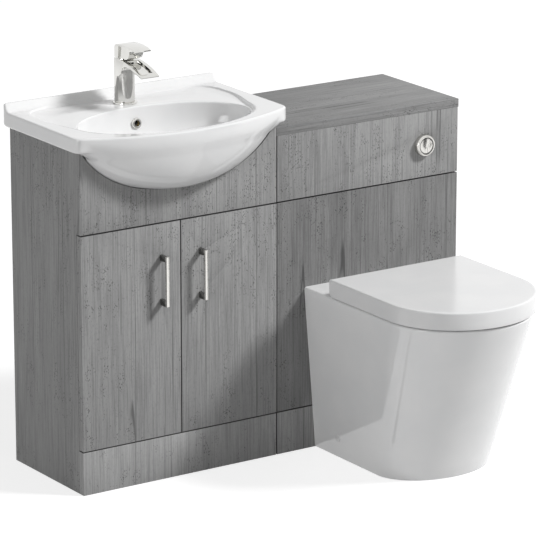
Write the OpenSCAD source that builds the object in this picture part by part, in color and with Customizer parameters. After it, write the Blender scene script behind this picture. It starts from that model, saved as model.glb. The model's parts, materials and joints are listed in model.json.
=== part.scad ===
/* [Unit] */
// Outside width of the vanity cabinet
vanity_w = 531; // [510:1:600]
// Outside width of the cabinet behind the toilet
wc_w = 519; // [490:1:580]
// Depth from the door faces to the back edges of the cabinet sides
unit_d = 310; // [300:1:340]
// Height of the vanity sides under the basin
vanity_h = 811; // [795:1:850]
// How much lower the toilet cabinet's sides end than the vanity's
wc_drop = 36; // [30:1:50]
// Height of the plinth boards
plinth_h = 103; // [85:1:125]
// Height of the fascia over the doors
fascia_h = 193.5; // [185:0.5:215]
// Thickness of the carcass boards
board_t = 16; // [15:0.5:18]
// Thickness of doors, fascias and plinths
front_t = 18; // [16:0.5:19]
// Width of the gap between two fronts
reveal = 3; // [2:0.5:4]
// Distance that soft buffers hold the doors off the carcass
buffer_t = 1.5; // [1:0.25:2.5]
// Thickness of the worktop
worktop_t = 20; // [16:1:28]
// Overhang of the worktop past the right-hand side
worktop_over = 2; // [1:0.5:6]

/* [Basin] */
// Overhang of the basin past each side of its cabinet
basin_over = 20; // [12:1:24]
// Reach of the basin's front past the doors, at its middle
basin_bow = 91; // [80:1:100]
// Reach of the basin's front past the doors, at its corners
basin_corner = 14; // [8:1:20]
// Height of the basin's flat edge over the cabinet
basin_edge = 36; // [32:1:40]
// Depth of the bowl under the rim
bowl_depth = 131; // [120:1:138]
// Radius of the tap hole
tap_hole_r = 17.5; // [17:0.25:18.5]
// Radius of the waste hole
waste_hole_r = 22.5; // [22:0.25:23.5]

/* [Tap] */
// Height of the tap over the basin's deck
tap_h = 143; // [138:1:165]
// Width of the tap's body
tap_w = 46; // [44:0.5:50]

/* [Toilet] */
// Width of the toilet pan at its rim
pan_w = 372; // [356:1:390]
// Height of the toilet pan's rim
pan_h = 400; // [390:1:430]
// Reach of the pan's rim from its back face
pan_reach = 520; // [505:1:540]
// Width of the pan's foot
foot_w = 306; // [290:1:320]
// Reach of the pan's foot from its back face
foot_reach = 363; // [350:1:400]
// Distance of the pan's middle from the middle of its cabinet
pan_shift = 4; // [0:0.5:8]
// Height of the closed lid's top over the rim
lid_h = 45.7; // [44:0.1:52]
// Distance between the two seat hinges
hinge_pitch = 155; // [145:1:165]

/* [Fittings] */
// Length of the door handles
handle_l = 119; // [110:1:160]
// Width of the door handles
handle_w = 7.5; // [6:0.5:10]
// Reach of the door handles off the doors
handle_reach = 29; // [24:1:36]
// Distance of the handles from the middle gap between the doors
handle_in = 52.5; // [35:0.5:70]
// Radius of the flush button's bezel
bezel_r = 26.5; // [25.5:0.5:32]
// How far the flush button's bezel stands off the fascia
bezel_proud = 14.5; // [9:0.5:18]
// Travel of the flush buttons
press = 4; // [3:0.5:5]
// Radius of the soil pipe socket
soil_r = 55; // [53:0.5:56]

/* [Hidden] */
$fn = 48;

// Places: the outside corner of each cabinet, with y = 0 in the plane of the door faces
wall_gap = 4;
total_w = basin_over + vanity_w + wc_w + worktop_over;
vanity_x = -total_w / 2 + basin_over;
wc_x = vanity_x + vanity_w;
basin_back = unit_d + wall_gap;
lid_over = 4;
front_y = (pan_reach + lid_over - buffer_t - basin_back) / 2;
fit = 0.1;
carcass_y = front_t + buffer_t;
side_d = unit_d - carcass_y;
wc_h = vanity_h - wc_drop;
door_z = plinth_h + reveal;
fascia_z = vanity_h - fascia_h;
door_top = fascia_z - reveal;
base_z = plinth_h + reveal / 2 - board_t / 2;
rail_h = 60;
rail_z = door_top + reveal / 2 - rail_h / 2;
wall_rail_h = 120;
module in_vanity() translate([vanity_x, front_y, 0]) children();
module in_wc() translate([wc_x, front_y, 0]) children();
module both(x) {
    translate([-x, 0, 0]) children();
    translate([x, 0, 0]) mirror([1, 0, 0]) children();
}
module along_y(y, z, r, l) translate([0, y, z]) rotate([-90, 0, 0]) cylinder(r = r, h = l);
module along_x(x, y, z, r, l) translate([x, y, z]) rotate([0, 90, 0]) cylinder(r = r, h = l);

// Skin over closed rings of equal length, closed by a point at each end
module skin(rings, low, high, flip = false) {
    n = len(rings);
    m = len(rings[0]);
    last = n * m + 1;
    faces = concat([for (j = [0:m - 1]) [0, 1 + j, 1 + (j + 1) % m]],
        [for (i = [0:n - 2], j = [0:m - 1], h = [0, 1]) let (a = 1 + i * m + j,
            b = 1 + i * m + (j + 1) % m)
            h == 0 ? [a, a + m, b] : [b, a + m, b + m]],
        [for (j = [0:m - 1]) [last, last - m + (j + 1) % m, last - m + j]]);
    polyhedron(concat([low], [for (r = rings) each r], [high]),
        flip ? [for (t = faces) [t[2], t[1], t[0]]] : faces);
}
// Skin over rings whose last one joins the first
module tube_skin(rings) {
    n = len(rings);
    m = len(rings[0]);
    polyhedron([for (r = rings) each r], [for (i = [0:n - 1], j = [0:m - 1], h = [0, 1])
        let (a = i * m + j, b = i * m + (j + 1) % m, c = ((i + 1) % n) * m + j,
            d = ((i + 1) % n) * m + (j + 1) % m)
        h == 0 ? [a, b, c] : [b, d, c]]);
}
// Smooth line through points
function spline(p, k) = concat([for (i = [0:len(p) - 2], s = [0:k - 1]) let (t = s / k,
    a = p[max(i - 1, 0)], b = p[i],
    c = p[i + 1], d = p[min(i + 2, len(p) - 1)])
    0.5 * (2 * b + (c - a) * t + (2 * a - 5 * b + 4 * c - d) * t * t + (3 * b - a - 3 * c + d) * t * t * t)],
    [p[len(p) - 1]]);
// Side view polygon (y, z) pulled out to width w around x = 0
module side_cut(p, w) translate([-w / 2, 0, 0]) rotate([90, 0, 90]) linear_extrude(w) polygon(p);
module rounded(w, d, r) {
    translate([-w / 2 + r, -d / 2]) square([w - 2 * r, d]);
    translate([-w / 2, -d / 2 + r]) square([w, d - 2 * r]);
    for (x = [-1, 1], y = [-1, 1]) translate([x * (w / 2 - r), y * (d / 2 - r)]) circle(r);
}

// ---- vanity cabinet ----
module side_board(h) translate([0, carcass_y, 0]) cube([board_t, side_d, h]);
module vanity_left_side() color("gray") in_vanity() difference() {
    side_board(vanity_h);
    translate([board_t - 2, carcass_y - 1, vanity_h - 2.5]) cube([3, side_d + 2, 3]);
}
module vanity_right_side() color("gray") in_vanity() translate([vanity_w, 0, 0]) mirror([1, 0, 0])
    difference() {
    side_board(vanity_h);
    translate([board_t - 2, carcass_y - 1, vanity_h - 2.5]) cube([3, side_d + 2, 3]);
}
vanity_in = vanity_w - 2 * board_t;
module vanity_base() color("gray") in_vanity()
    translate([board_t, carcass_y, base_z]) cube([vanity_in, side_d, board_t]);
module wall_rail(w, z) difference() {
    translate([board_t, unit_d - board_t, z]) cube([w, board_t, wall_rail_h]);
    for (x = [board_t + 60, board_t + w - 60])
        translate([x, unit_d - board_t - 1, z + wall_rail_h / 2]) rotate([-90, 0, 0])
            cylinder(r = 4, h = board_t + 2);
}
module vanity_back_rail() color("gray") in_vanity() wall_rail(vanity_in, vanity_h - wall_rail_h);
module vanity_front_rail() color("gray") in_vanity()
    translate([board_t, carcass_y, rail_z]) cube([vanity_in, board_t, rail_h]);
fascia_w = vanity_w - reveal / 2;
module vanity_plinth() color("gray") in_vanity() translate([0, buffer_t, 0])
    cube([fascia_w, front_t, plinth_h]);

// The basin's underside: superellipse sections around (0, belly_y)
basin_w = vanity_w + 2 * basin_over;
hw = basin_w / 2;
skirt_z = vanity_h + fit;
rim_z = vanity_h + basin_edge;
belly_y = 22;
belly_top = rim_z - 2;
belly_low = rim_z - bowl_depth - 22.5;
tap_y = basin_back - 78;
belly_w = hw - 6.5;
belly_front = basin_bow - 1 + belly_y;
belly_rear = tap_y - 21 - belly_y;
belly_in = vanity_w / 2 - board_t - 3.5;
function belly_s(z) = let (t = (belly_top - z) / (belly_top - belly_low))
    pow(1 - pow(max(t, 0), 1.48), 1 / 2.45);
function belly_x(y, z) = let (s = belly_s(z), v = pow(s, 0.75), q = (belly_y - y) / (belly_front * v))
    q >= 1 ? 0 : belly_w * s * pow(1 - pow(q, 1.8), 1 / 1.8);
skirt_turn = 34;
fascia_steps = 3;
module vanity_fascia() color("gray") in_vanity() {
    zs = [for (k = [0:24]) belly_low + 0.4 + (vanity_h - 9 - belly_low) * pow(k / 24, 1.6)];
    difference() {
        translate([0, buffer_t, fascia_z]) cube([fascia_w, front_t, vanity_h - fascia_z]);
        for (k = [1:fascia_steps]) {
            y = buffer_t + front_t * k / fascia_steps;
            half = [for (z = zs) [belly_x(y, z) + 1.2, z]];
            edge = concat([[0, belly_low - 1.5]], half,
                [[min(half[24][0] + 2, vanity_w / 2 - 20), vanity_h + 1]]);
            translate([vanity_w / 2, y + (k == fascia_steps ? 1 : 0), 0]) rotate([90, 0, 0])
                linear_extrude(front_t / fascia_steps + (k == 1 ? 1 : 0) + (k == fascia_steps ? 1 : 0))
                polygon(concat(edge, [for (i = [len(edge) - 1:-1:1]) [-edge[i][0], edge[i][1]]]));
        }
    }
}

// ---- doors ----
door_h = door_top - door_z;
door_lw = (vanity_w - reveal) / 2;
door_rw = fascia_w - (vanity_w + reveal) / 2;
cup_x = 22.5;
cup_z = [door_z + 80, door_top - 80];
cup_r = 17.5;
cup_d = 12;
handle_z = (door_top + fascia_z) / 2 - 134;
handle_post = 14.5;
handle_pitch = handle_l - handle_post;
pad_r = 3;
// Door seen from its hinge side: x = 0 at the hinged edge
module door_board(w, hx) difference() {
    translate([0, 0, door_z]) cube([w, front_t, door_h]);
    for (z = cup_z) translate([cup_x, front_t - cup_d, z]) rotate([-90, 0, 0])
        cylinder(r = cup_r, h = cup_d + 1);
    for (s = [-1, 1]) translate([hx, -1, handle_z + s * handle_pitch / 2]) rotate([-90, 0, 0])
        cylinder(r = 2.3, h = front_t + 2);
}
module door_pads(w) for (z = [door_z + pad_r + 0.2, door_top - 12])
    translate([w - 14, front_t, z]) rotate([-90, 0, 0]) cylinder(r = pad_r, h = buffer_t - 0.1);
module door_left() color("gray") in_vanity() {
    door_board(door_lw, vanity_w / 2 - handle_in);
    door_pads(door_lw);
}
module flip_right(w) translate([w, 0, 0]) mirror([1, 0, 0]) children();
module door_right() color("gray") in_vanity() flip_right(fascia_w) {
    door_board(door_rw, fascia_w - vanity_w / 2 - handle_in);
    door_pads(door_rw);
}
// D handle with two square posts, and its screws from behind the door
module handle() {
    bar = 6.5;
    e = handle_l / 2;
    side_cut([[0, -e], [1 - handle_reach, -e], [-handle_reach, 1 - e], [-handle_reach, e - 1],
        [1 - handle_reach, e],
        [0, e], [0, e - handle_post], [bar - handle_reach, e - handle_post + 1.5],
        [bar - handle_reach, handle_post - 1.5 - e], [0, handle_post - e]], handle_w);
    for (s = [-1, 1]) translate([0, 0, s * handle_pitch / 2]) rotate([90, 0, 0]) {
        translate([0, 0, -front_t - 2.4]) cylinder(r = 4.2, h = 2.4);
        translate([0, 0, -front_t - 0.5]) cylinder(r = 2, h = front_t + 2);
    }
}
module handle_left() color("silver") in_vanity() translate([vanity_w / 2 - handle_in, 0, handle_z])
    handle();
module handle_right() color("silver") in_vanity() translate([vanity_w / 2 + handle_in, 0, handle_z])
    handle();
module cups() for (z = cup_z) translate([cup_x, 0, z]) {
    difference() {
        union() {
            translate([0, front_t - cup_d + fit, 0]) rotate([-90, 0, 0])
                cylinder(r = cup_r - 0.05, h = cup_d - fit);
            translate([-6, front_t, -26]) cube([14, 1, 52]);
            for (s = [-1, 1]) translate([1, front_t, 22 * s]) rotate([-90, 0, 0])
                cylinder(r = 4, h = 1.8);
        }
        translate([0, front_t - cup_d + 1.2, 0]) rotate([-90, 0, 0]) cylinder(r = 15.5, h = cup_d + 2);
    }
}
module hinge_cups_left() color("silver") in_vanity() cups();
module hinge_cups_right() color("silver") in_vanity() flip_right(fascia_w) cups();
// Mounting plate on the cabinet side, and the arm that reaches into the cup
module arms(x0) for (z = cup_z) translate([x0, 0, z]) {
    difference() {
        translate([0, carcass_y + 18, -22]) cube([2, 40, 44]);
        for (s = [-1, 1]) translate([-1, carcass_y + 36, 16 * s]) rotate([0, 90, 0])
            cylinder(r = 2.6, h = 5);
    }
    translate([0, carcass_y + 18, -7]) cube([9, 46, 14]);
    translate([0, 0, -6]) linear_extrude(12)
        polygon([[cup_x - 3 - x0, front_t - 6], [cup_x + 4 - x0, front_t - 6],
        [cup_x + 4 - x0, carcass_y + 4], [10.5, carcass_y + 14], [10.5, carcass_y + 66],
            [8, carcass_y + 66],
        [8, carcass_y + 8], [cup_x - 3 - x0, carcass_y + 2]]);
}
module hinge_arms() color("silver") in_vanity() {
    arms(board_t);
    translate([vanity_w, 0, 0]) mirror([1, 0, 0]) arms(board_t);
}

// ---- basin ----
module in_basin() in_vanity() translate([vanity_w / 2, 0, 0]) children();
by = 60;
function smin(v, n) = pow([for (r = v) pow(r, -n)] * [for (r = v) 1], -1 / n);
function front_ray(a, bow, dip, w) = let (k = (bow + dip) / (w * w), c = cos(a) * cos(a), s = sin(a),
    h = bow + by)
    k * c < 1e-7 ? (s < 0 ? h / -s : 1e5) : (s + sqrt(s * s + 4 * k * c * h)) / (2 * k * c);
function side_ray(a, w) = w / max(abs(cos(a)), 1e-4);
function back_ray(a, d) = sin(a) > 1e-4 ? d / sin(a) : 1e5;
function outline(a, w, back, bow, n) =
    let (r = smin([front_ray(a, bow, -basin_corner, hw), side_ray(a, w), back_ray(a, back - by)], n))
    [r * cos(a), by + r * sin(a)];
a_front = atan2(-basin_corner - by, hw);
a_rear = atan2(basin_back - by, hw);
half_angles = concat([for (i = [0:11]) -90 + (a_front + 84) * i / 12],
    [for (i = [-3:3]) a_front + i * 1.4],
    [for (i = [1:4]) a_front + 4.2 + (a_rear - a_front - 10.5) * i / 5],
        [for (i = [-5:3]) a_rear + i * 1.25],
    [for (i = [1:5]) a_rear + 3.75 + (86.25 - a_rear) * i / 6], [90]);
angles = concat(half_angles, [for (i = [len(half_angles) - 2:-1:1]) 180 - half_angles[i]]);
bm = len(angles);
function inset(p, d) = [p[0] * (1 - d / hw),
    by + (p[1] - by) * (1 - d / (p[1] > by ? basin_back - by : basin_bow + by))];
outer = [for (a = angles) outline(a, hw, basin_back, basin_bow, 40)];
sunk = [for (a = angles) outline(a, hw - 29.5, basin_back - 30, basin_bow - 22, 8)];
bowl_rear = tap_y - 45.5;
bowl_front = -basin_bow + 32.5;
bowl_y = (bowl_rear + bowl_front) / 2;
bowl_b = (bowl_rear - bowl_front) / 2;
bowl_a = hw - 65.5;
waste_y = bowl_y + 9;
lip_z = rim_z - 6;
deck_z = rim_z - 4;
bowl_z = rim_z - bowl_depth;
lip = [for (a = angles) let (e = 1 / sqrt(pow(cos(a) / bowl_a, 2) + pow(sin(a) / bowl_b, 2)))
    [e * cos(a), bowl_y + e * sin(a)]];
function bowl_ring(t) = let (s = pow(1 - pow(t, 2.5), 1 / 2.6))
    [for (p = lip) [s * p[0], waste_y + (p[1] - waste_y) * s, lip_z - (lip_z - bowl_z) * t]];
function belly(z) = let (s = belly_s(z), v = pow(s, 0.75)) [for (p = outer)
    let (u = p[0], w = p[1] - belly_y, r = w < 0 ? belly_front * v : belly_rear * v,
        e = 1 / pow(pow(abs(u) / (belly_w * s), 1.8) + pow(abs(w) / r, 1.8), 1 / 1.8),
        x = e * u, y = belly_y + e * w)
    [y > -6 ? max(-belly_in, min(belly_in, x)) : x, y, z]];
function at_z(ring, z) = [for (p = ring) [p[0], p[1], z]];
// Upstand over the rim: it starts up_foot in front of the back edge, is full at up_crest and falls behind
up_h = 19;
up_foot = 32;
up_crest = 15;
up_fall = 9.5;
function up(y) = let (u = y - basin_back)
    u < -up_foot ? 0
    : u < -up_crest ? up_h * pow((u + up_foot) / (up_foot - up_crest), 1.8)
    : up_h - up_fall * pow((u + up_crest) / up_crest, 4);
function top(d, dz) = [for (p = outer) let (q = inset(p, d)) [q[0], q[1], rim_z + up(q[1]) - dz]];
// How much of the flat skirt is left at a point of the outline: all at the sides and back, none in front
function flat(p) = let (t = p[1] > 0 ? 1 : min(1,
    max(0, (abs(p[0]) - hw + skirt_turn) / (skirt_turn - 8)))) t * t * (3 - 2 * t);
function skirt(d, z, zf, k) = let (b = belly(zf))
    [for (j = [0:bm - 1]) let (q = inset(outer[j], d), w = flat(outer[j]),
        f = [outer[j][0], outer[j][1], zf])
    [q[0], q[1], z] * w + (f * (1 - k) + b[j] * k) * (1 - w)];
function edge_z(k) = rim_z - k * basin_edge;
basin_rings = concat([for (t = [0.985, 0.95, 0.88, 0.78, 0.65, 0.5, 0.33, 0.16, 0.05]) bowl_ring(t)],
    [at_z(lip, lip_z), [for (p = lip) [p[0] * 1.02, bowl_y + (p[1] - bowl_y) * 1.03, deck_z]]],
    [[for (p = sunk) [p[0] * 0.985, by + (p[1] - by) * 0.985, deck_z]], at_z(sunk, rim_z)],
    [top(24, 0), top(17, 0), top(12, 0), top(7, 0), top(2, 2)],
    [skirt(0, edge_z(0.25), edge_z(0.25), 0.03), skirt(0, edge_z(0.5), edge_z(0.42), 0.18),
        skirt(0, edge_z(0.75), edge_z(0.58), 0.48), skirt(2, skirt_z + 2.5, edge_z(0.75), 0.78),
        skirt(7, skirt_z, edge_z(0.89), 0.95)],
    [belly(skirt_z - 0.01)],
    [for (t = [0.31, 0.41, 0.54, 0.67, 0.8, 0.9, 0.96, 0.985])
        belly(belly_top - t * (belly_top - belly_low))]);
overflow_z = rim_z - 43;
overflow_r = 11;
overflow_y = waste_y + (bowl_rear - waste_y) * 0.981;
// Cast channel from the overflow down to the waste, midway between bowl and belly
function bowl_back(z) = let (t = (lip_z - z) / (lip_z - bowl_z))
    waste_y + (bowl_rear - waste_y) * pow(1 - pow(t, 2.5), 1 / 2.6);
function belly_back(z) = belly_y + belly_rear * pow(belly_s(z), 0.75);
function mid(z) = [(bowl_back(z) + belly_back(z)) / 2, z];
function floor_at(y) = let (s = (y - waste_y) / (bowl_rear - waste_y),
    q = pow((y - belly_y) / belly_rear, 1 / 0.75),
    a = lip_z - (lip_z - bowl_z) * pow(1 - pow(s, 2.6), 1 / 2.5),
    b = belly_top - (belly_top - belly_low) * pow(1 - pow(q, 2.45), 1 / 1.48)) [y, (a + b) / 2];
duct = [mid(overflow_z - 4), mid(rim_z - 67), mid(rim_z - 87), mid(rim_z - 105), floor_at(waste_y + 66),
    floor_at(waste_y + 37),
    [waste_y + 18, floor_at(waste_y + 26)[1] - 1.5]];
module duct_leg(a, b, k) translate([0, a[0], a[1]]) rotate([atan2(-(b[0] - a[0]), b[1] - a[1]), 0, 0])
    translate([0, 0, -1]) cylinder(r = 3.2 - 0.07 * (k % 2), h = norm(b - a) + 2);
module basin() color("white") in_basin() difference() {
    skin(basin_rings, [0, waste_y, bowl_z], [0, belly_y + 30, belly_low]);
    translate([0, tap_y, skirt_z - 20]) cylinder(r = tap_hole_r, h = 100);
    translate([0, waste_y, belly_low - 20]) cylinder(r = waste_hole_r, h = 120);
    along_y(overflow_y - 12, overflow_z, overflow_r, 24);
    for (k = [0:len(duct) - 2]) duct_leg(duct[k], duct[k + 1], k);
}
// Seated square on the sloping bowl wall
wall_tilt = atan2(bowl_back(overflow_z + 13) - bowl_back(overflow_z - 13), 26);
module overflow_ring() color("silver") in_basin() translate([0, overflow_y - 2, overflow_z])
    rotate([-90 - wall_tilt, 0, 0])
    rotate_extrude() polygon([[7.2, -3.2], [10.4, -3.2], [12.6, -1.6], [13.2, 1], [9.5, 1], [9.5, 9],
        [8, 9], [8, 0], [7.2, -1.4]]);

// ---- tap ----
tap_up = tap_h - 143;
module in_tap() in_basin() translate([0, tap_y, deck_z]) children();
cart_y = -5;
cart_r = 12.5;
body_top = tap_h - 34;
pin_y = 3;
pin_z = body_top + 4;
module tap_base_ring() color("silver") in_tap() rotate_extrude()
    polygon([[16.2, 0.05], [28.5, 0.05], [28.5, 2.6], [27.3, 4], [16.2, 4]]);
module tap_body() color("silver") in_tap() difference() {
    union() {
        translate([0, 0, 4.05]) linear_extrude(body_top - 4.05) {
            intersection() {
                circle(tap_w / 2);
                translate([-40, -60]) square([80, 60.1]);
            }
            translate([-tap_w / 2, 0]) square([tap_w, 9.5]);
        }
        translate([0, 0, tap_up + 1]) side_cut(concat([[3, 108]],
            spline([[-9, 106], [-36, 104.5], [-63, 99.4], [-90, 91.3],
            [-111, 82]], 6), spline([[-112, 80.4], [-111, 78.9], [-109, 78.8], [-96, 82.6], [-82, 87],
                [-58, 93.4], [-40, 93.8], [-31, 91], [-24.5, 85],
            [-20, 74]], 4), [[-16, 66], [3, 66]]), tap_w + 0.6);
    }
    translate([0, 0, tap_up + 1]) side_cut(concat([[-34, 112], [-34, 99]],
        [[-50, 96.6], [-63, 93.8], [-80, 89.2], [-99, 82.6], [-99, 112]]), 28);
    translate([0, cart_y, body_top - 40]) cylinder(r = cart_r + 0.1, h = 60);
    translate([0, cart_y, 3]) cylinder(r = 9, h = 60);
    along_y(-36, body_top - 11, 4.5, 26);
    translate([0, cart_y, body_top - 60]) cylinder(r = 4, h = 40);
}
module tap_cartridge() color("tan") in_tap() translate([0, cart_y, body_top - 39.8]) {
    cylinder(r = cart_r, h = 30);
    cylinder(r = 8, h = 35);
}
// Turning disc with the ear that carries the lever's pivot pin
module tap_spindle() color("silver") in_tap() {
    translate([0, cart_y, body_top - 4.6]) cylinder(r = cart_r - 0.1, h = 4.4);
    difference() {
        translate([-5, pin_y - 4, body_top - 1]) cube([10, 6.2, 8]);
        along_x(-6, pin_y, pin_z, 1.5, 12);
    }
    along_x(-15, pin_y, pin_z, 1.6, 30);
}
module tap_lever() color("silver") in_tap() translate([0, 0, tap_up + 1]) difference() {
    union() {
        intersection() {
            side_cut(concat([[-9, 110], [7, 110], [8, 111]],
                spline([[8, 130], [7.2, 135], [4, 138.8], [-3, 140.9], [-17, 142], [-35, 142.3],
                [-53, 141.5],
                [-68, 139.4], [-82, 136.5]], 4),
                    spline([[-82.3, 135], [-80.5, 133.6], [-68, 135.9], [-52, 137.6], [-20, 138],
                    [-10, 137]], 3)), 60);
            translate([0, 0, 100]) linear_extrude(60)
                polygon([[-23, 12], [23, 12], [23, -45], [22.2, -66], [20.6, -80], [19.5, -84],
                [-19.5, -84], [-20.6, -80], [-22.2, -66], [-23, -45]]);
        }
        side_cut([[-8, 110], [-8, 138.6], [-50, 138.6], [-52, 135], [-51, 124], [-46, 114], [-40, 110.4],
            [-36, 110]], 38);
    }
    translate([-6, pin_y - 12, 100]) cube([12, 15.5, 20]);
    along_x(-15.2, pin_y, 112, 1.65, 30.4);
}
shank_r = 16;
deck_t = deck_z - skirt_z;
module tap_shank() color("tan") in_tap() difference() {
    union() {
        translate([0, 0, -deck_t - 34]) cylinder(r = shank_r, h = deck_t + 34 + 4);
        translate([0, 0, 0.1]) cylinder(r = 16, h = 3.9);
    }
    translate([0, 0, -deck_t - 35]) cylinder(r = 12, h = deck_t + 33);
    for (x = [-5.6, 5.6]) translate([x, 0, -4]) cylinder(r = 4.1, h = 12);
}
module tap_backnut() color("tan") in_tap() {
    difference() {
        translate([0, 0, -deck_t - 3]) cylinder(r = 24, h = 2.95);
        translate([0, 0, -deck_t - 4]) cylinder(r = shank_r + 0.05, h = 6);
    }
    difference() {
        translate([0, 0, -deck_t - 13]) cylinder(r = 23, h = 9.9, $fn = 6);
        translate([0, 0, -deck_t - 14]) cylinder(r = shank_r + 0.05, h = 12);
    }
}

// ---- waste and trap ----
module in_waste() in_basin() translate([0, waste_y, 0]) children();
tail_r = 16;
tail_low = belly_low - 52;
module waste_body() color("silver") in_waste() difference() {
    waste_tube();
    for (a = [0, 90]) rotate(a) along_y(-30, bowl_z - 11.5, 3.4, 60);
}
module waste_tube() rotate_extrude()
    polygon([[tail_r, tail_low], [tail_r + 3, tail_low], [tail_r + 3, bowl_z - 6],
    [waste_hole_r - 0.5, bowl_z - 4], [waste_hole_r - 0.5, bowl_z + 3.2], [32, bowl_z + 6.2],
        [32, bowl_z + 7.6],
    [29, bowl_z + 8.2], [18, bowl_z + 3], [tail_r, bowl_z]]);
// Domed plug on a stem, drawn shut down on its seat
module waste_plug() color("silver") in_waste() translate([0, 0, -1.15]) rotate_extrude()
    polygon([[0, bowl_z + 9.6], [0, bowl_z + 14.5], [12, bowl_z + 14], [22, bowl_z + 12.6],
    [28, bowl_z + 10.6], [28.6, bowl_z + 9.2], [27, bowl_z + 8.6], [24, bowl_z + 8.8], [15.4, bowl_z + 7],
        [15.4, bowl_z + 4], [13, bowl_z + 3], [5, bowl_z + 3],
    [5, bowl_z - 34], [0, bowl_z - 36]]);
module waste_backnut() color("black") in_waste() {
    z = belly_low - 14;
    difference() {
        union() {
            translate([0, 0, z + 8]) cylinder(r = 30, h = 5.9);
            translate([0, 0, z]) cylinder(r = 28, h = 8.1, $fn = 8);
        }
        translate([0, 0, z - 1]) cylinder(r = tail_r + 3.05, h = 20);
    }
}
trap_z = tail_low - 96;
trap_r = 29;
module trap_body() color("silver") in_waste() difference() {
    union() {
        translate([0, 0, tail_low - 14]) cylinder(r = 26, h = 42);
        translate([0, 0, trap_z]) cylinder(r = trap_r, h = 86);
        translate([0, 0, tail_low - 62]) rotate([-90, 0, 0]) cylinder(r = 22, h = 52);
    }
    translate([0, 0, tail_low]) cylinder(r = tail_r + 3.1, h = 30);
    translate([0, 0, tail_low - 30]) cylinder(r = 14, h = 40);
    translate([0, 0, trap_z - 1]) cylinder(r = trap_r - 3, h = 80);
    translate([0, 0, tail_low - 62]) rotate([-90, 0, 0]) cylinder(r = 16.1, h = 60);
}
module trap_cup() color("silver") in_waste() {
    difference() {
        union() {
            translate([0, 0, trap_z - 30]) cylinder(r = 27, h = 29);
            translate([0, 0, trap_z - 14]) cylinder(r = trap_r + 4, h = 24);
        }
        translate([0, 0, trap_z - 26]) cylinder(r = 23, h = 40);
        translate([0, 0, trap_z - 0.1]) cylinder(r = trap_r + 0.1, h = 12);
    }
}
trap_out_z = tail_low - 62;
module trap_outlet() color("silver") in_waste() difference() {
    union() {
        along_y(30, trap_out_z, 16, basin_back - waste_y - 30);
        along_y(42, trap_out_z, 27, 12);
    }
    along_y(29, trap_out_z, 14.5, basin_back);
    difference() {
        along_y(41, trap_out_z, 22.1, 11.1);
        along_y(40, trap_out_z, 16, 14);
    }
}

// ---- toilet cabinet ----
pan_y = buffer_t;
pan_x = wc_w / 2 + pan_shift;
outlet_z = 180;
inlet_z = pan_h - 65;
inlet_r = 27.5;
wc_in = wc_w - 2 * board_t;
wc_fx = reveal / 2;
wc_fw = wc_w - wc_fx;
module wc_left_side() color("gray") in_wc() side_board(wc_h);
module wc_right_side() color("gray") in_wc() translate([wc_w, 0, 0]) mirror([1, 0, 0]) side_board(wc_h);
module wc_base_rail() color("gray") in_wc() translate([board_t, carcass_y, base_z])
    cube([wc_in, 90, board_t]);
module wc_front_rail() color("gray") in_wc() translate([board_t, carcass_y, rail_z])
    cube([wc_in, board_t, rail_h]);
module wc_back_rail() color("gray") in_wc() wall_rail(wc_in, wc_h - wall_rail_h);
module wc_plinth() color("gray") in_wc() translate([wc_fx, buffer_t, 0]) cube([wc_fw, front_t, plinth_h]);
module wc_front_panel() color("gray") in_wc() difference() {
    translate([wc_fx, buffer_t, door_z]) cube([wc_fw, front_t, door_top - door_z]);
    translate([pan_x, 0, 0]) {
        along_y(0, outlet_z, soil_r + 9, 40);
        along_y(0, inlet_z, inlet_r, 40);
    }
}
button_x = wc_w - 100.5;
button_z = wc_h - 79;
tube_r = 21.5;
module wc_fascia() color("gray") in_wc() difference() {
    translate([wc_fx, buffer_t, fascia_z]) cube([wc_fw, front_t, wc_h - fascia_z]);
    translate([button_x, 0, 0]) along_y(0, button_z, tube_r + 0.5, 40);
}
module wc_worktop() color("gray") in_wc()
    translate([0, buffer_t, wc_h + 0.05]) cube([wc_w + worktop_over, basin_back - buffer_t, worktop_t]);

// ---- flush button ----
module in_button() in_wc() translate([button_x, buffer_t, button_z]) children();
dome_r = 19;
proud = bezel_proud;
module flush_bezel() color("silver") in_button() rotate([90, 0, 0]) difference() {
    rotate_extrude() polygon([[0, -front_t - 26], [tube_r, -front_t - 26], [tube_r, 0.05],
        [bezel_r, 0.05], [bezel_r, proud - 6],
        [bezel_r - 0.8, proud - 3], [bezel_r - 2.6, proud - 0.8], [bezel_r - 4.4, proud],
            [dome_r + 0.9, proud - 0.8], [dome_r + 0.3, proud - 2], [dome_r + 0.3, -front_t - 23],
            [0, -front_t - 23]]);
    for (x = [-8, 8]) translate([x, 0, -front_t - 30]) cylinder(r = 1.6, h = 12);
}
module flush_nut() color("gray") in_button() rotate([90, 0, 0]) difference() {
    translate([0, 0, -front_t - 8.05]) cylinder(r = 30, h = 8, $fn = 8);
    translate([0, 0, -front_t - 9]) cylinder(r = tube_r + 0.05, h = 10);
}
// Wavy split between the two buttons, seen from the front
wave = [for (i = [-12:12]) [5.4 + 2.4 * sin(i * 15), i * 1.7]];
module button(large) rotate([90, 0, 0]) {
    intersection() {
        translate([0, 0, -14]) cylinder(r = dome_r, h = 14 + proud - 1.6);
        translate([0, 0, -20]) linear_extrude(60) polygon(large
            ? concat([[-30, -21]], [for (p = wave) [p[0] - 0.25, p[1]]], [[-30, 21]])
            : concat([[30, -21]], [for (p = wave) [p[0] + 0.25, p[1]]], [[30, 21]]));
    }
    translate([large ? -8 : 13, 0, -front_t - 23 + press + 0.5])
        cylinder(r = 3, h = front_t + 10 - press);
}
module flush_button_large() color("silver") in_button() button(true);
module flush_button_small() color("silver") in_button() button(false);

// ---- cistern ----
tank_w = 380;
tank_d = 124;
tank_y = unit_d - board_t - 0.1 - tank_d / 2 - 2.5;
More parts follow.
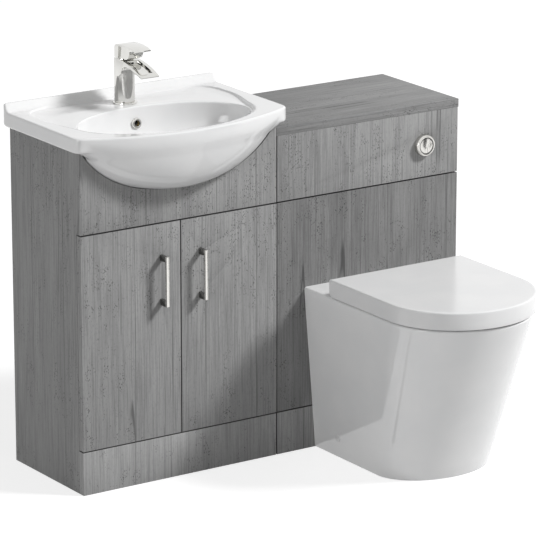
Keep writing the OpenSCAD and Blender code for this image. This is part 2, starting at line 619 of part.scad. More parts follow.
// The flush pipe stands between the pan's inlet and the tank, which reaches up to the room under the top
bend = 60;
pipe_tail = 21.9;
valve_seat = 6.1;
tank_z = inlet_z + bend + pipe_tail + valve_seat;
tank_room = 32;
tank_h = wc_h - tank_room - tank_z;
module in_tank() in_wc() translate([pan_x, tank_y, tank_z]) children();
pipe_r = 22;
valve_r = 30;
fill_x = 140;
// The guide of the flush valve and the head of the fill valve keep their distance under the lid
valve_top = tank_h - 162;
fill_top = tank_h - 74;
module cistern_tank() color("white") in_tank() difference() {
    union() {
        linear_extrude(tank_h) rounded(tank_w, tank_d, 22);
        translate([0, 0, tank_h - 8]) linear_extrude(8) rounded(tank_w + 5, tank_d + 5, 24.5);
    }
    translate([0, 0, 4]) linear_extrude(tank_h) rounded(tank_w - 8, tank_d - 8, 18);
    translate([0, 0, -1]) cylinder(r = valve_r + 0.5, h = 10);
    translate([fill_x, 0, -1]) cylinder(r = 10.5, h = 10);
}
module cistern_lid() color("white") in_tank() difference() {
    translate([0, 0, tank_h + 0.05]) linear_extrude(8) rounded(tank_w + 9, tank_d + 5, 24.5);
    translate([0, 0, tank_h - 4]) linear_extrude(6) rounded(tank_w - 14, tank_d - 14, 15);
}
module flush_valve() color("white") in_tank() difference() {
    union() {
        translate([0, 0, -26]) cylinder(r = valve_r, h = 32);
        translate([0, 0, 4.05]) cylinder(r = valve_r + 8, h = 5);
        translate([0, 0, -14]) cylinder(r = valve_r + 9, h = 13.9, $fn = 8);
        for (a = [45:90:315]) rotate(a) translate([valve_r - 3, -4, 7]) cube([5.5, 8, valve_top - 5]);
        translate([0, 0, valve_top]) cylinder(r = valve_r + 4, h = 26);
    }
    translate([0, 0, -27]) cylinder(r = pipe_r + 0.1, h = 27.1 - valve_seat);
    translate([0, 0, -7]) cylinder(r = 19, h = 20);
    translate([0, 0, valve_top - 1]) cylinder(r = 15.2, h = 30);
}
// Seal disc and overflow tube, drawn shut
module flush_valve_lift() color("aqua") in_tank() difference() {
    union() {
        translate([0, 0, 9.15]) cylinder(r = 25, h = 5);
        translate([0, 0, 10]) cylinder(r = 14.8, h = valve_top + 67);
    }
    translate([0, 0, 9]) cylinder(r = 12.5, h = valve_top + 82);
}
module fill_valve() color("white") in_tank() translate([fill_x, 0, 0]) {
    translate([0, 0, -30]) cylinder(r = 10, h = 40);
    translate([0, 0, 4.05]) cylinder(r = 17, h = 6);
    translate([0, 0, -10]) cylinder(r = 16, h = 9.9, $fn = 6);
    translate([0, 0, 8]) cylinder(r = 8, h = fill_top - 6);
    translate([0, 0, fill_top]) cylinder(r = 20, h = 34);
    translate([-48, -6, fill_top + 16]) cube([50, 12, 7]);
}
module fill_float() color("white") in_tank() translate([fill_x, 0, 0]) difference() {
    translate([0, 0, fill_top - 74]) cylinder(r = 29, h = 66);
    translate([0, 0, fill_top - 75]) cylinder(r = 8.4, h = 70);
    difference() {
        translate([0, 0, fill_top - 70]) cylinder(r = 26, h = 70);
        translate([0, 0, fill_top - 76]) cylinder(r = 11, h = 80);
    }
}
module flush_pipe() color("white") in_wc() translate([pan_x, 0, 0]) {
    z1 = tank_z - valve_seat;
    difference() {
        union() {
            translate([0, tank_y, inlet_z + bend]) cylinder(r = pipe_r, h = z1 - inlet_z - bend);
            translate([0, tank_y - bend, inlet_z + bend]) rotate([90, 0, 90]) rotate([0, 0, -90])
                rotate_extrude(angle = 90) translate([bend, 0]) circle(pipe_r);
            along_y(-24, inlet_z, pipe_r, tank_y - bend + 24);
        }
        translate([0, tank_y, inlet_z + bend]) cylinder(r = pipe_r - 3, h = z1 - inlet_z);
        translate([0, tank_y - bend, inlet_z + bend]) rotate([90, 0, 90]) rotate([0, 0, -90])
            rotate_extrude(angle = 90) translate([bend, 0]) circle(pipe_r - 3);
        along_y(-25, inlet_z, pipe_r - 3, tank_y - bend + 25);
    }
}
module flush_pipe_seal() color("black") in_wc() translate([pan_x, 0, 0]) difference() {
    along_y(-22, inlet_z, inlet_r - 0.05, 22 + carcass_y);
    along_y(-23, inlet_z, pipe_r + 0.05, 60);
}

// ---- toilet pan ----
module in_pan() in_wc() translate([pan_x, pan_y, 0]) children();
rear_rows = [0, 5, 10, 15, 20, 60, 120, 190, 270];
rim_s = 345;
foot_s = 253;
arc_n = 30;
back_n = 4;
// Closed loop: back edge, straight sides to y = -s, half ellipse to y = -front; the
// first rows of the sides keep their distance behind the back edge
function d_loop(w, s, front, back) = let (k = len(rear_rows)) concat(
    [for (r = rear_rows) [w, -back - r * (s - back) / rim_s]],
    [for (i = [0:arc_n]) let (a = 180 * i / arc_n) [w * cos(a), -s - (front - s) * sin(a)]],
    [for (i = [k - 1:-1:0]) [-w, -back - rear_rows[i] * (s - back) / rim_s]],
    [for (i = [1:back_n - 1]) [-w + 2 * w * i / back_n, -back]]);
function wall_loop(z, d) = let (t = z / pan_h, w = (foot_w + (pan_w - foot_w) * t) / 2,
    s = foot_s + (rim_s - foot_s) * t,
    f = foot_reach + (pan_reach - foot_reach) * t) [for (p = d_loop(w - d, s, f - d, 0)) [p[0], p[1], z]];
rim_loop = d_loop(pan_w / 2, rim_s, pan_reach, 0);
function ell(w, yb, yf, z) = let (c = (yb + yf) / 2, h = (yf - yb) / 2)
    [for (p = rim_loop) let (a = atan2(-p[1] - 300, p[0])) [w * cos(a), -(c + h * sin(a)), z]];
open_w = pan_w / 2 - 53;
pan_rings = concat([for (t = [0.99, 0.94, 0.86, 0.74, 0.6, 0.45, 0.3, 0.15,
    0]) let (s = pow(1 - pow(t, 2.2), 1 / 2.2))
    ell(45 + (open_w - 48) * s, 214 - 60 * s, 270 + (pan_reach - 315) * s, pan_h - 12 - 288 * t)],
    [ell(open_w, 151, pan_reach - 42, pan_h - 3), ell(open_w + 5, 146, pan_reach - 36, pan_h)],
    [wall_loop(pan_h, 6), wall_loop(pan_h - 1.6, 2), wall_loop(pan_h - 6, 0), wall_loop(0, 0)]);
side_hole_y = -100;
side_hole_z = 48.7;
foot_in = foot_w / 2 - 17;
module toilet_pan() color("white") in_pan() difference() {
    skin(pan_rings, [0, -240, pan_h - 302], [0, -180, 0], true);
    along_y(-170, inlet_z, 20, 175);
    along_y(-26, inlet_z, inlet_r, 30);
    along_y(-30, outlet_z, 42, 31);
    difference() {
        along_y(-26, outlet_z, 75, 30);
        along_y(-27, outlet_z, 51, 40);
    }
    along_y(-76, 209, 33, 48);
    translate([0, -78, 208]) sphere(37);
    translate([0, -150, 88]) rotate([-30.96, 0, 0]) cylinder(r = 34, h = 139.9);
    translate([0, -150, 88]) sphere(37.5);
    translate([0, -228, 110]) rotate([105.75, 0, 180]) cylinder(r = 34.6, h = 81);
    both(0) translate([-foot_in, -240, -1]) cube([foot_in - 55, 222, 86]);
    both(0) translate([-foot_w, side_hole_y, side_hole_z]) rotate([0, 90, 0])
        cylinder(r = 4.5, h = foot_w - 60);
    both(0) translate([-foot_w, side_hole_y, side_hole_z]) rotate([0, 90, 0])
        cylinder(r = 9.1, h = foot_w / 2 + 4);
    both(hinge_pitch / 2) translate([0, hinge_y, pan_h - 18]) cylinder(r = 5, h = 30);
}
module pan_connector() color("black") in_pan() {
    difference() {
        union() {
            along_y(-25, outlet_z, 60, 95);
            along_y(69, outlet_z, soil_r, basin_back - pan_y - 69);
            along_y(56, outlet_z, 63, 10);
        }
        along_y(-26, outlet_z, 51.1, 60);
        along_y(0, outlet_z, 50.5, 500);
    }
}
module pan_brackets() color("silver") in_pan() both(foot_in) difference() {
    union() {
        translate([0.05, side_hole_y - 14, 0]) cube([3, 28, 66]);
        translate([0.05, side_hole_y - 14, 0]) cube([42, 28, 3]);
    }
    translate([-1, side_hole_y, side_hole_z]) rotate([0, 90, 0]) cylinder(r = 3.2, h = 8);
    translate([26, side_hole_y, -1]) cylinder(r = 4.2, h = 5);
}
module bolt_caps() color("silver") in_pan() both(0) translate([-foot_w / 2 - 4, side_hole_y, side_hole_z])
    rotate([0, 90, 0]) {
    translate([0, 0, -1.5]) cylinder(r = 9, h = 9.4);
    cylinder(r = 3.1, h = 32);
}

// ---- seat ----
hinge_y = -128;
hinge_z = pan_h + 24;
pin_r = 4;
lid_top = pan_h + lid_h;
ring_low = pan_h + 7;
ring_top = pan_h + 31;
ring_w = pan_w / 2 - 8;
function ring_loop(d, z) = [for (p = d_loop(ring_w - d, rim_s, pan_reach - 8 - d, 148 + d))
    [p[0], p[1], z]];
function hole_loop(d, z) = let (w = open_w - 21 - d, yb = 180 + d, yf = pan_reach - 62 - d,
    c = (yb + yf) / 2, h = (yf - yb) / 2)
    [for (p = ring_loop(0, 0)) let (a = atan2(-p[1] - c, p[0])) [w * cos(a), -(c + h * sin(a)), z]];
module seat_ring() color("white") in_pan() {
    tube_skin([ring_loop(2, ring_low), ring_loop(0, ring_low + 3), ring_loop(0, ring_top - 7),
        ring_loop(2.5, ring_top - 2), ring_loop(8, ring_top),
        hole_loop(-16, ring_top - 1), hole_loop(-6, ring_top - 4), hole_loop(-1.5, ring_top - 9),
            hole_loop(0, ring_low + 5), hole_loop(-3, ring_low)]);
    for (s = [-1, 1], p = [[ring_w - 22, -230], [100, -pan_reach + 51]])
        translate([s * p[0], p[1], pan_h + 0.1]) cylinder(r = 6.5, h = ring_low - pan_h - 0.1);
}
lid_w = pan_w / 2 + 3.5;
lid_back = 108;
sweep = 23.4;
function lid_loop(d, z) = [for (p = d_loop(lid_w - d, rim_s, pan_reach + lid_over - d, lid_back + d))
    [p[0], p[1], z]];
function lid_low(y) = max(pan_h + 3.5,
    hinge_z - sqrt(max(0, sweep * sweep - pow(max(0, y - hinge_y), 2))));
function hem(d) = [for (p = lid_loop(d, 0)) [p[0], p[1], lid_low(p[1])]];
module seat_lid() color("white") in_pan() {
    difference() {
        skin([lid_loop(60, lid_top), lid_loop(12, lid_top - 0.3), lid_loop(5, lid_top - 1.8),
            lid_loop(1.4, lid_top - 5.5), lid_loop(0, lid_top - 11),
            hem(0), hem(5), lid_loop(5, lid_top - 9), lid_loop(8, lid_top - 6),
                lid_loop(30, lid_top - 6)],
            [0, -316, lid_top + 0.2], [0, -316, lid_top - 6]);
        both(hinge_pitch / 2) translate([-8.5, -lid_back - 7, pan_h])
            cube([17, 12, hinge_z + 13 - pan_h]);
    }
    for (s = [-1, 1], p = [[ring_w - 24, -250], [90, -pan_reach + 55]])
        translate([s * p[0], p[1], ring_top + 0.1]) cylinder(r = 6, h = lid_top - 6 - ring_top - 0.1);
}
// Posts on the pan with the hinge pins
module seat_hinges() color("silver") in_pan() both(hinge_pitch / 2) translate([0, hinge_y, 0]) {
    translate([0, 0, pan_h + 0.05]) cylinder(r = 7.4, h = 4);
    translate([0, 0, pan_h - 17]) cylinder(r = 4.9, h = 20);
    translate([-6, -8, pan_h + 3]) cube([12, 16, 21]);
    along_x(-6, 0, hinge_z, 8, 12);
    along_x(-19, 0, hinge_z, pin_r, 38);
}
// Strap on the seat ring, on the inner side of each post, and lug under the lid on the outer side
module seat_lugs() color("silver") in_pan() both(hinge_pitch / 2) translate([0, hinge_y, 0])
    difference() {
    union() {
        along_x(7.5, 0, hinge_z, 8, 10);
        translate([7.5, -44, ring_top + 0.05]) cube([10, 44, 4.5]);
        translate([7.5, -8, hinge_z]) cube([10, 8, 8]);
    }
    along_x(0, 0, hinge_z, pin_r + 0.05, 30);
}
module lid_lugs() color("silver") in_pan() both(hinge_pitch / 2) translate([0, hinge_y, 0]) difference() {
    union() {
        along_x(-17.5, 0, hinge_z, 8, 10);
        translate([-17.5, -8, hinge_z]) cube([10, 16, lid_top - 6.05 - hinge_z]);
    }
    along_x(-30, 0, hinge_z, pin_r + 0.05, 30);
}

vanity_left_side();
vanity_right_side();
vanity_base();
vanity_back_rail();
vanity_front_rail();
vanity_fascia();
vanity_plinth();
door_left();
door_right();
handle_left();
handle_right();
hinge_arms();
hinge_cups_left();
hinge_cups_right();
basin();
overflow_ring();
tap_base_ring();
tap_body();
tap_cartridge();
tap_spindle();
tap_lever();
tap_shank();
tap_backnut();
waste_body();
waste_plug();
waste_backnut();
trap_body();
trap_cup();
trap_outlet();
wc_left_side();
wc_right_side();
wc_base_rail();
wc_front_rail();
wc_back_rail();
wc_fascia();
wc_front_panel();
wc_plinth();
wc_worktop();
flush_bezel();
flush_button_large();
flush_button_small();
flush_nut();
cistern_tank();
cistern_lid();
flush_valve();
flush_valve_lift();
fill_valve();
fill_float();
flush_pipe();
flush_pipe_seal();
toilet_pan();
pan_connector();
pan_brackets();
bolt_caps();
seat_ring();
seat_lid();
seat_hinges();
seat_lugs();
lid_lugs();
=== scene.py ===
"""Looks of the toilet and basin combination unit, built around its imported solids."""
import json
import math

import bmesh
import bpy
import numpy as np
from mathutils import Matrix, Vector


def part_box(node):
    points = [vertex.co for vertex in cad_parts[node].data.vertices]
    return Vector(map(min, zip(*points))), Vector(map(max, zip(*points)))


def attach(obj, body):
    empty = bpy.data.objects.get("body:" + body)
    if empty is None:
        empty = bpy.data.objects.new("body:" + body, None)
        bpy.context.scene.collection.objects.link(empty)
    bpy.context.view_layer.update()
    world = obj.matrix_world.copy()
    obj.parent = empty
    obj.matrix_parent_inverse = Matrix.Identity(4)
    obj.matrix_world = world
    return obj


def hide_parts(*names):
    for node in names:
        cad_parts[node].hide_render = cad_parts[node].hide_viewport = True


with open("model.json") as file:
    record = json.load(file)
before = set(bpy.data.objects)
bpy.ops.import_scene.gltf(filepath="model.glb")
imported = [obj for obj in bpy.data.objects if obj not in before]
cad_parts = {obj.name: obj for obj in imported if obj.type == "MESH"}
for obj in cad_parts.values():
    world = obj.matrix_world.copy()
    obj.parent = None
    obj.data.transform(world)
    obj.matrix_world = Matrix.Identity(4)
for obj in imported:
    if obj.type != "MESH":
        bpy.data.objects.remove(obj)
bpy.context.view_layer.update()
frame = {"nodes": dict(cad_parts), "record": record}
NODES = frame["nodes"]
MM = 0.001


# ---- places read from the frame, in millimetres ----
def low(node):
    return np.array(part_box(node)[0]) / MM


def high(node):
    return np.array(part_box(node)[1]) / MM


def body_of(node):
    bodies = frame["record"]["behaviour"]["bodies"]
    return next(name for name, nodes in bodies.items() if node in nodes)


VANITY_X = low("vanity_left_side")[0]
FRONT_Y = low("door_left")[1]
BASIN_LOW, BASIN_HIGH = low("basin"), high("basin")
BASIN_X = (BASIN_LOW[0] + BASIN_HIGH[0]) / 2
PAN_LOW, PAN_HIGH = low("toilet_pan"), high("toilet_pan")
LID_LOW, LID_HIGH = low("seat_lid"), high("seat_lid")
PAN_X = (LID_LOW[0] + LID_HIGH[0]) / 2
PAN_Y = PAN_HIGH[1]


# ---- shader helpers: places in metres, as the object coordinates give them ----
class Shader:
    """One node material, with short calls for the nodes that it uses."""

    def __init__(self, name):
        self.material = bpy.data.materials.new(name)
        self.material.use_nodes = True
        self.tree = self.material.node_tree
        self.bsdf = self.tree.nodes["Principled BSDF"]
        self.coord = self.tree.nodes.new("ShaderNodeTexCoord").outputs["Object"]

    def link(self, value, socket):
        if isinstance(value, bpy.types.NodeSocket):
            self.tree.links.new(value, socket)
        else:
            socket.default_value = value

    def scaled(self, scale, offset=(0, 0, 0)):
        node = self.tree.nodes.new("ShaderNodeMapping")
        self.tree.links.new(self.coord, node.inputs["Vector"])
        node.inputs["Scale"].default_value = scale
        node.inputs["Location"].default_value = offset
        return node.outputs["Vector"]

    def noise(self, vector, scale, detail=4, rough=0.55, distort=0.0):
        node = self.tree.nodes.new("ShaderNodeTexNoise")
        self.tree.links.new(vector, node.inputs["Vector"])
        node.inputs["Scale"].default_value = scale
        node.inputs["Detail"].default_value = detail
        node.inputs["Roughness"].default_value = rough
        node.inputs["Distortion"].default_value = distort
        return node.outputs["Fac"]

    def cells(self, vector, scale):
        """Distance to the middle of the nearest random cell."""
        node = self.tree.nodes.new("ShaderNodeTexVoronoi")
        self.tree.links.new(vector, node.inputs["Vector"])
        node.inputs["Scale"].default_value = scale
        return node.outputs["Distance"]

    def split(self, vector):
        """The x, y and z of a vector."""
        node = self.tree.nodes.new("ShaderNodeSeparateXYZ")
        self.tree.links.new(vector, node.inputs[0])
        return node.outputs

    def facing(self, axis):
        """How squarely the surface faces along an axis, from 0 to 1."""
        place = self.tree.nodes.new("ShaderNodeTexCoord")
        return self.math("ABSOLUTE", self.split(place.outputs["Normal"])[axis])

    def planks(self, along, density, seed):
        """Random tone of each printed plank and the thin line where two of them meet."""
        across = [part for k, part in enumerate(self.split(self.coord)) if k != along]
        place = self.math("ADD", self.math("ADD", across[0], across[1]), 10 + 0.37 * seed)
        ends = []
        for feature, output in (("F1", "Color"), ("DISTANCE_TO_EDGE", "Distance")):
            node = self.tree.nodes.new("ShaderNodeTexVoronoi")
            node.voronoi_dimensions = "1D"
            node.feature = feature
            node.inputs["Scale"].default_value = density
            self.tree.links.new(place, node.inputs["W"])
            ends.append(node.outputs[output])
        line = self.ramp(ends[1], 0.0008 * density, 0.002 * density, 1.0, 0.0)
        return self.split(ends[0])[0], line

    def ramp(self, value, a, b, lo=0.0, hi=1.0):
        """Smooth step from lo where the value is a to hi where it is b."""
        node = self.tree.nodes.new("ShaderNodeMapRange")
        node.interpolation_type = "SMOOTHSTEP"
        self.link(value, node.inputs["Value"])
        for key, number in (("From Min", a), ("From Max", b), ("To Min", lo), ("To Max", hi)):
            node.inputs[key].default_value = number
        return node.outputs["Result"]

    def math(self, operation, a, b=0.0):
        node = self.tree.nodes.new("ShaderNodeMath")
        node.operation = operation
        self.link(a, node.inputs[0])
        self.link(b, node.inputs[1])
        return node.outputs[0]

    def mix(self, factor, a, b):
        """Colour a where the factor is 0 and b where it is 1."""
        node = self.tree.nodes.new("ShaderNodeMix")
        node.data_type = "RGBA"
        self.link(factor, node.inputs["Factor"])
        self.link(a, node.inputs["A"])
        self.link(b, node.inputs["B"])
        return node.outputs["Result"]

    def bump(self, height, strength, distance):
        node = self.tree.nodes.new("ShaderNodeBump")
        self.link(height, node.inputs["Height"])
        node.inputs["Strength"].default_value = strength
        node.inputs["Distance"].default_value = distance
        return node.outputs["Normal"]

    def finish(self, color, rough, normal, metal=0.0, **fixed):
        """Joins all to the surface shader; fixed holds its other inputs by name."""
        self.link(color, self.bsdf.inputs["Base Color"])
        self.link(rough, self.bsdf.inputs["Roughness"])
        self.bsdf.inputs["Metallic"].default_value = metal
        for name, value in fixed.items():
            self.bsdf.inputs[name.replace("_", " ")].default_value = value
        self.tree.links.new(normal, self.bsdf.inputs["Normal"])
        return self.material


def grey(value, tint=(1, 1, 1)):
    """Linear colour of an sRGB grey from 0 to 255, with a tint."""
    v = value / 255
    v = v / 12.92 if v <= 0.04045 else ((v + 0.055) / 1.055) ** 2.4
    return (v * tint[0], v * tint[1], v * tint[2], 1)


def laminate(name, along, seed, tone=156, gap_shade=None):
    """Grey board with a weathered wood grain along one axis (0 x, 2 z), and with painted shade on its edges
    in the gaps.

    The gap shade gives an axis, and how dark the painted shade is where the surface lies along that axis and
    where it faces it.
    """
    s = Shader(name)

    def grain(k, *offset):
        stretch = [1.0, 1.0, 1.0]
        stretch[along] = k
        return s.scaled(stretch, [a + 2.3 * seed for a in offset])

    bands = s.noise(grain(0.07, 0, 0, 0), 17, 4, 0.55, 0.4)
    streaks = s.noise(grain(0.03, 0.7, 1.9, 0), 75, 5, 0.65, 0.2)
    fibres = s.noise(grain(0.02, 3.1, 1.7, 0.4), 330, 4, 0.72)
    pale = s.noise(grain(0.022, 7.1, 2.7, 1.4), 300, 4, 0.7)
    mottle = s.noise(grain(0.5, 0.2, 4.1, 1.5), 230, 3, 0.7)
    clouds = s.noise(grain(0.5, 0.3, 0.9, 0.2), 6.5, 5, 0.6, 0.4)
    plank, seam = s.planks(along, 9.5, seed)
    # From wide changes of tone to single fibres
    color = s.mix(s.ramp(bands, 0.32, 0.68), grey(tone - 8), grey(tone + 7, (1, 1.0, 0.995)))
    color = s.mix(s.math("MULTIPLY", plank, 0.35), color, grey(tone - 20))
    color = s.mix(s.ramp(streaks, 0.32, 0.6, 0.3, 0.0), color, grey(tone - 22))
    color = s.mix(s.ramp(clouds, 0.38, 0.72, 0.0, 0.4), color, grey(tone + 12))
    color = s.mix(s.ramp(fibres, 0.36, 0.56, 0.5, 0.0), color, grey(tone - 48))
    color = s.mix(s.ramp(pale, 0.5, 0.7, 0.0, 0.4), color, grey(tone + 22))
    color = s.mix(s.ramp(mottle, 0.34, 0.5, 0.22, 0.0), color, grey(tone - 44))
    # Long cracks follow the contour lines of a stretched noise, in patches
    hills = s.noise(grain(0.028, 5.2, 0.6, 1.3), 14, 1, 0.5)
    contour = s.math("ABSOLUTE", s.math("SUBTRACT", hills, 0.5))
    patches = s.ramp(s.noise(grain(0.25, 4.0, 0.1, 1.3), 14, 2), 0.54, 0.62)
    cracks = s.math("MULTIPLY", s.ramp(contour, 0.002, 0.007, 0.75, 0.0), patches)
    seams = s.math("MULTIPLY", seam, s.ramp(streaks, 0.42, 0.58, 0.1, 0.55))
    # Pits lie in clusters along the grain
    wide = s.ramp(s.cells(grain(0.62, 0.7, 0.2, 0.5), 150), 0.15, 0.24, 0.9, 0.0)
    small = s.ramp(s.cells(grain(0.5, 2.7, 1.2, 0.9), 300), 0.22, 0.34, 0.8, 0.0)
    chosen = s.ramp(s.noise(grain(0.4, 1.0, 8.1, 3.3), 13, 3, 0.6), 0.47, 0.56)
    fewer = s.ramp(s.noise(grain(0.5, 6.0, 2.1, 3.3), 60, 3, 0.6), 0.46, 0.56)
    pits = s.math("MULTIPLY", s.math("MAXIMUM", wide, small), s.math("MULTIPLY", chosen, fewer))
    marks = s.math("MAXIMUM", s.math("MAXIMUM", cracks, seams), pits)
    color = s.mix(s.math("MULTIPLY", marks, 0.8), color, grey(tone - 92))
    if gap_shade is not None:
        # Painted shade on the edges that lie in the gaps between boards
        axis, lying, facing = gap_shade
        color = s.mix(s.ramp(s.facing(axis), 0.3, 0.8, lying, facing), color, grey(tone - 110))
    raised = s.math("ADD", s.math("MULTIPLY", fibres, 0.6), s.math("MULTIPLY", streaks, 0.3))
    height = s.math("SUBTRACT", raised, marks)
    rough = s.ramp(mottle, 0.3, 0.7, 0.55, 0.68)
    return s.finish(color, rough, s.bump(height, 0.5, 0.0006), Specular_IOR_Level=0.3)


def glaze(name, rough=0.09, tone=243, coat=0.5):
    """White fired glaze or gloss plastic: slow ripple, faint specks, small change of gloss."""
    s = Shader(name)
    ripple = s.noise(s.scaled((1, 1, 1)), 9, 3, 0.5)
    fine = s.noise(s.scaled((1, 1, 1), (2, 5, 1)), 420, 3, 0.6)
    specks = s.ramp(s.cells(s.scaled((1, 1, 1)), 95), 0.02, 0.06, 0.05, 0.0)
    color = s.mix(s.ramp(ripple, 0.3, 0.7), grey(tone, (0.992, 0.996, 1.0)), grey(tone + 3))
    color = s.mix(specks, color, grey(tone - 70))
    gloss = s.ramp(fine, 0.3, 0.7, rough * 0.8, rough * 1.35)
    waves = s.bump(s.math("ADD", ripple, s.math("MULTIPLY", fine, 0.02)), 0.08, 0.002)
    s.tree.links.new(waves, s.bsdf.inputs["Coat Normal"])
    return s.finish(color, gloss, waves, Specular_IOR_Level=0.5, Coat_Weight=coat, Coat_Roughness=0.03)


def metal(name, color, rough, wear):
    """Plated or turned metal: fine wipe marks, cloudy gloss and a slight change of tone."""
    s = Shader(name)
    wipe = s.noise(s.scaled((1, 1, 1)), 900, 3, 0.6)
    cloud = s.noise(s.scaled((1, 1, 1)), 26, 4, 0.55)
    shade = s.mix(s.ramp(cloud, 0.3, 0.7), color, tuple(c * 0.93 for c in color[:3]) + (1,))
    cloudy = s.ramp(cloud, 0.3, 0.75, rough * 0.75, rough * 1.3)
    gloss = s.math("ADD", cloudy, s.ramp(wipe, 0.4, 0.7, 0.0, rough * wear))
    return s.finish(shade, gloss, s.bump(wipe, 0.02 + 0.05 * wear, 0.0002), metal=1.0)


def satin(s, shade, drawn, gloss):
    """Finishes a satin metal: fine wipe marks, with their scale along z."""
    wipe = s.noise(s.scaled((1, 1, drawn)), 900, 3, 0.6)
    return s.finish(shade, s.ramp(wipe, 0.3, 0.7, *gloss), s.bump(wipe, 0.04, 0.0002), metal=1.0)


def handle_metal_painted_shade(name):
    """Satin bar with painted shade on its posts behind it, from 22.8 mm in front of the door."""
    s = Shader(name)
    bar_back = FRONT_Y - 22.8
    # Painted shade: the posts, from the bar's back to the door, are darkened as if in the bar's shade
    depth = s.ramp(s.split(s.coord)[1], bar_back * MM, (bar_back + 1.8) * MM)
    shade = s.mix(depth, (0.76, 0.75, 0.72, 1), (0.25, 0.25, 0.24, 1))
    return satin(s, shade, 0.2, (0.2, 0.3))


def button_metal_painted_shade_and_reflection(name):
    """Satin chrome with painted shade in the groove round the buttons and between them, and a painted dark
    reflection in a ring at the buttons' outer edge.
    """
    s = Shader(name)
    middle = (low("flush_bezel") + high("flush_bezel")) / 2 * MM
    reach = (high("flush_button_small")[0] - low("flush_button_large")[0]) / 2
    place = s.split(s.coord)
    x = s.math("SUBTRACT", place[0], middle[0])
    z = s.math("SUBTRACT", place[2], middle[2])
    radius = s.math("SQRT", s.math("ADD", s.math("MULTIPLY", x, x), s.math("MULTIPLY", z, z)))
    # Painted shade on the groove's walls and the buttons' flanks, and a painted dark reflection in a ring at
    # the buttons' outer edge
    inside = s.ramp(radius, (reach + 1.2) * MM, (reach + 2.0) * MM, 1.0, 0.0)
    flank = s.ramp(s.facing(1), 0.6, 0.92, 1.0, 0.0)
    ring = s.ramp(radius, (reach - 2.2) * MM, (reach - 1.0) * MM, 0.0, 0.75)
    dark = s.math("MULTIPLY", inside, s.math("MAXIMUM", flank, ring))
    shade = s.mix(dark, (0.72, 0.71, 0.68, 1), (0.1, 0.1, 0.1, 1))
    return satin(s, shade, 1, (0.18, 0.26))


def moulded(name, tone, rough, tint=(1, 1, 1)):
    """Moulded plastic or rubber: spark-eroded grain, flow clouds and dusty patches."""
    s = Shader(name)
    grain = s.noise(s.scaled((1, 1, 1)), 1500, 2, 0.6)
    flow = s.noise(s.scaled((1, 1, 0.5)), 14, 4, 0.6, 0.6)
    color = s.mix(s.ramp(flow, 0.3, 0.7), grey(tone, tint), grey(max(tone - 9, 2), tint))
    color = s.mix(s.ramp(grain, 0.45, 0.7, 0.0, 0.15), color, grey(min(tone + 12, 250), tint))
    gloss = s.ramp(flow, 0.3, 0.7, rough * 0.9, rough * 1.1)
    return s.finish(color, gloss, s.bump(grain, 0.12, 0.0002))


# Each material slot of the record has one material, and the nodes in OWN have one of their own
MATERIALS = {
    "ceramic": glaze("ceramic_glaze"),
    "seat_plastic": glaze("seat_gloss", 0.16, 243, 0.0),
    "chrome": metal("chrome", (0.75, 0.745, 0.72, 1), 0.06, 0.3),
    "steel": metal("nickel_steel", (0.62, 0.62, 0.6, 1), 0.28, 0.9),
    "brass": metal("brass", (0.7, 0.52, 0.25, 1), 0.26, 0.8),
    "black_plastic": moulded("black_plastic", 26, 0.45),
    "tank_plastic": moulded("tank_plastic", 232, 0.4, (1, 1, 0.99)),
    "rubber": moulded("rubber", 30, 0.7),
    "laminate": laminate("laminate_inner", 2, 11.7),
}
HANDLE, BUTTON = handle_metal_painted_shade("handle_satin_painted_shade"), button_metal_painted_shade_and_reflection("button_satin")
OWN = {
    "handle_left": HANDLE, "handle_right": HANDLE,
    "flush_bezel": BUTTON, "flush_button_large": BUTTON, "flush_button_small": BUTTON,
    # The pan's glaze is a paler copy of the ceramic glaze: painted light, for light on the pan that the lamps
    # don't give
    "toilet_pan": glaze("pan_glaze", tone=251), "wc_worktop": laminate("laminate_worktop", 0, 0.4, 150),
}
# Painted shade: the dark grey of a channel that no light reaches
HOLE_SHADE = moulded("channel_painted_shade", 18, 0.8)
SLOTS = {part["node"]: part["material_slot"] for part in frame["record"]["subparts"]}

# Upright boards that show have their own print and tone. The fronts' edges have painted shade in the gaps
# between them; where a front's outer edge shows from the left, only its upper and lower ends have it
# The tones were matched board by board to how bright each board looks, so they are partly the print's own
# tone and partly painted light and shade; the vanity's plinth is made lighter for the dimmer light low down
BOARD_TONES = {
    "vanity_left_side": 158, "vanity_fascia": 161, "door_left": 161, "door_right": 160, "vanity_plinth": 175,
    "wc_fascia": 163, "wc_front_panel": 135, "wc_plinth": 161, "wc_right_side": 157,
}
# Painted shade in the gaps: on all of a board's edges, and on its upper and lower ends only
ALL_EDGES, ENDS = (1, 0.75, 0.0), (2, 0.0, 0.75)
GAP_SHADES = {
    "vanity_fascia": ENDS, "door_left": ENDS, "vanity_plinth": ENDS, "door_right": ALL_EDGES,
    "wc_fascia": ALL_EDGES, "wc_front_panel": ALL_EDGES, "wc_plinth": ALL_EDGES,
}
for k, (node, tone) in enumerate(BOARD_TONES.items()):
    OWN[node] = laminate("laminate_" + node, 2, 0.9 * k, tone, GAP_SHADES.get(node))


# ---- mesh helpers ----
def add_object(name, mesh, node):
    """Puts a mesh in the scene in place of a node, with the node's material and on its body."""
    piece = bpy.data.objects.new(name, mesh)
    bpy.context.scene.collection.objects.link(piece)
    mesh.materials.clear()
    mesh.materials.append(OWN.get(node, MATERIALS[SLOTS[node]]))
    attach(piece, body_of(node))
    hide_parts(node)
    return piece


def smooth(mesh, angle):
    """Smooth shading but for edges that turn by more than an angle in degrees."""
    for face in mesh.polygons:
        face.use_smooth = True
    mesh.set_sharp_from_angle(angle=math.radians(angle))


# How much an edge turns: up to the first its faces are one flat, from the second they are facets of a curve,
# over the third the edge is rounded, and over the last the shading keeps it sharp
JOIN_TURN, FLAT_TURN, SHARP_TURN, SHADED_TURN = (math.radians(turn) for turn in (0.8, 1, 28, 32))
SAME_PLACE = 2e-6


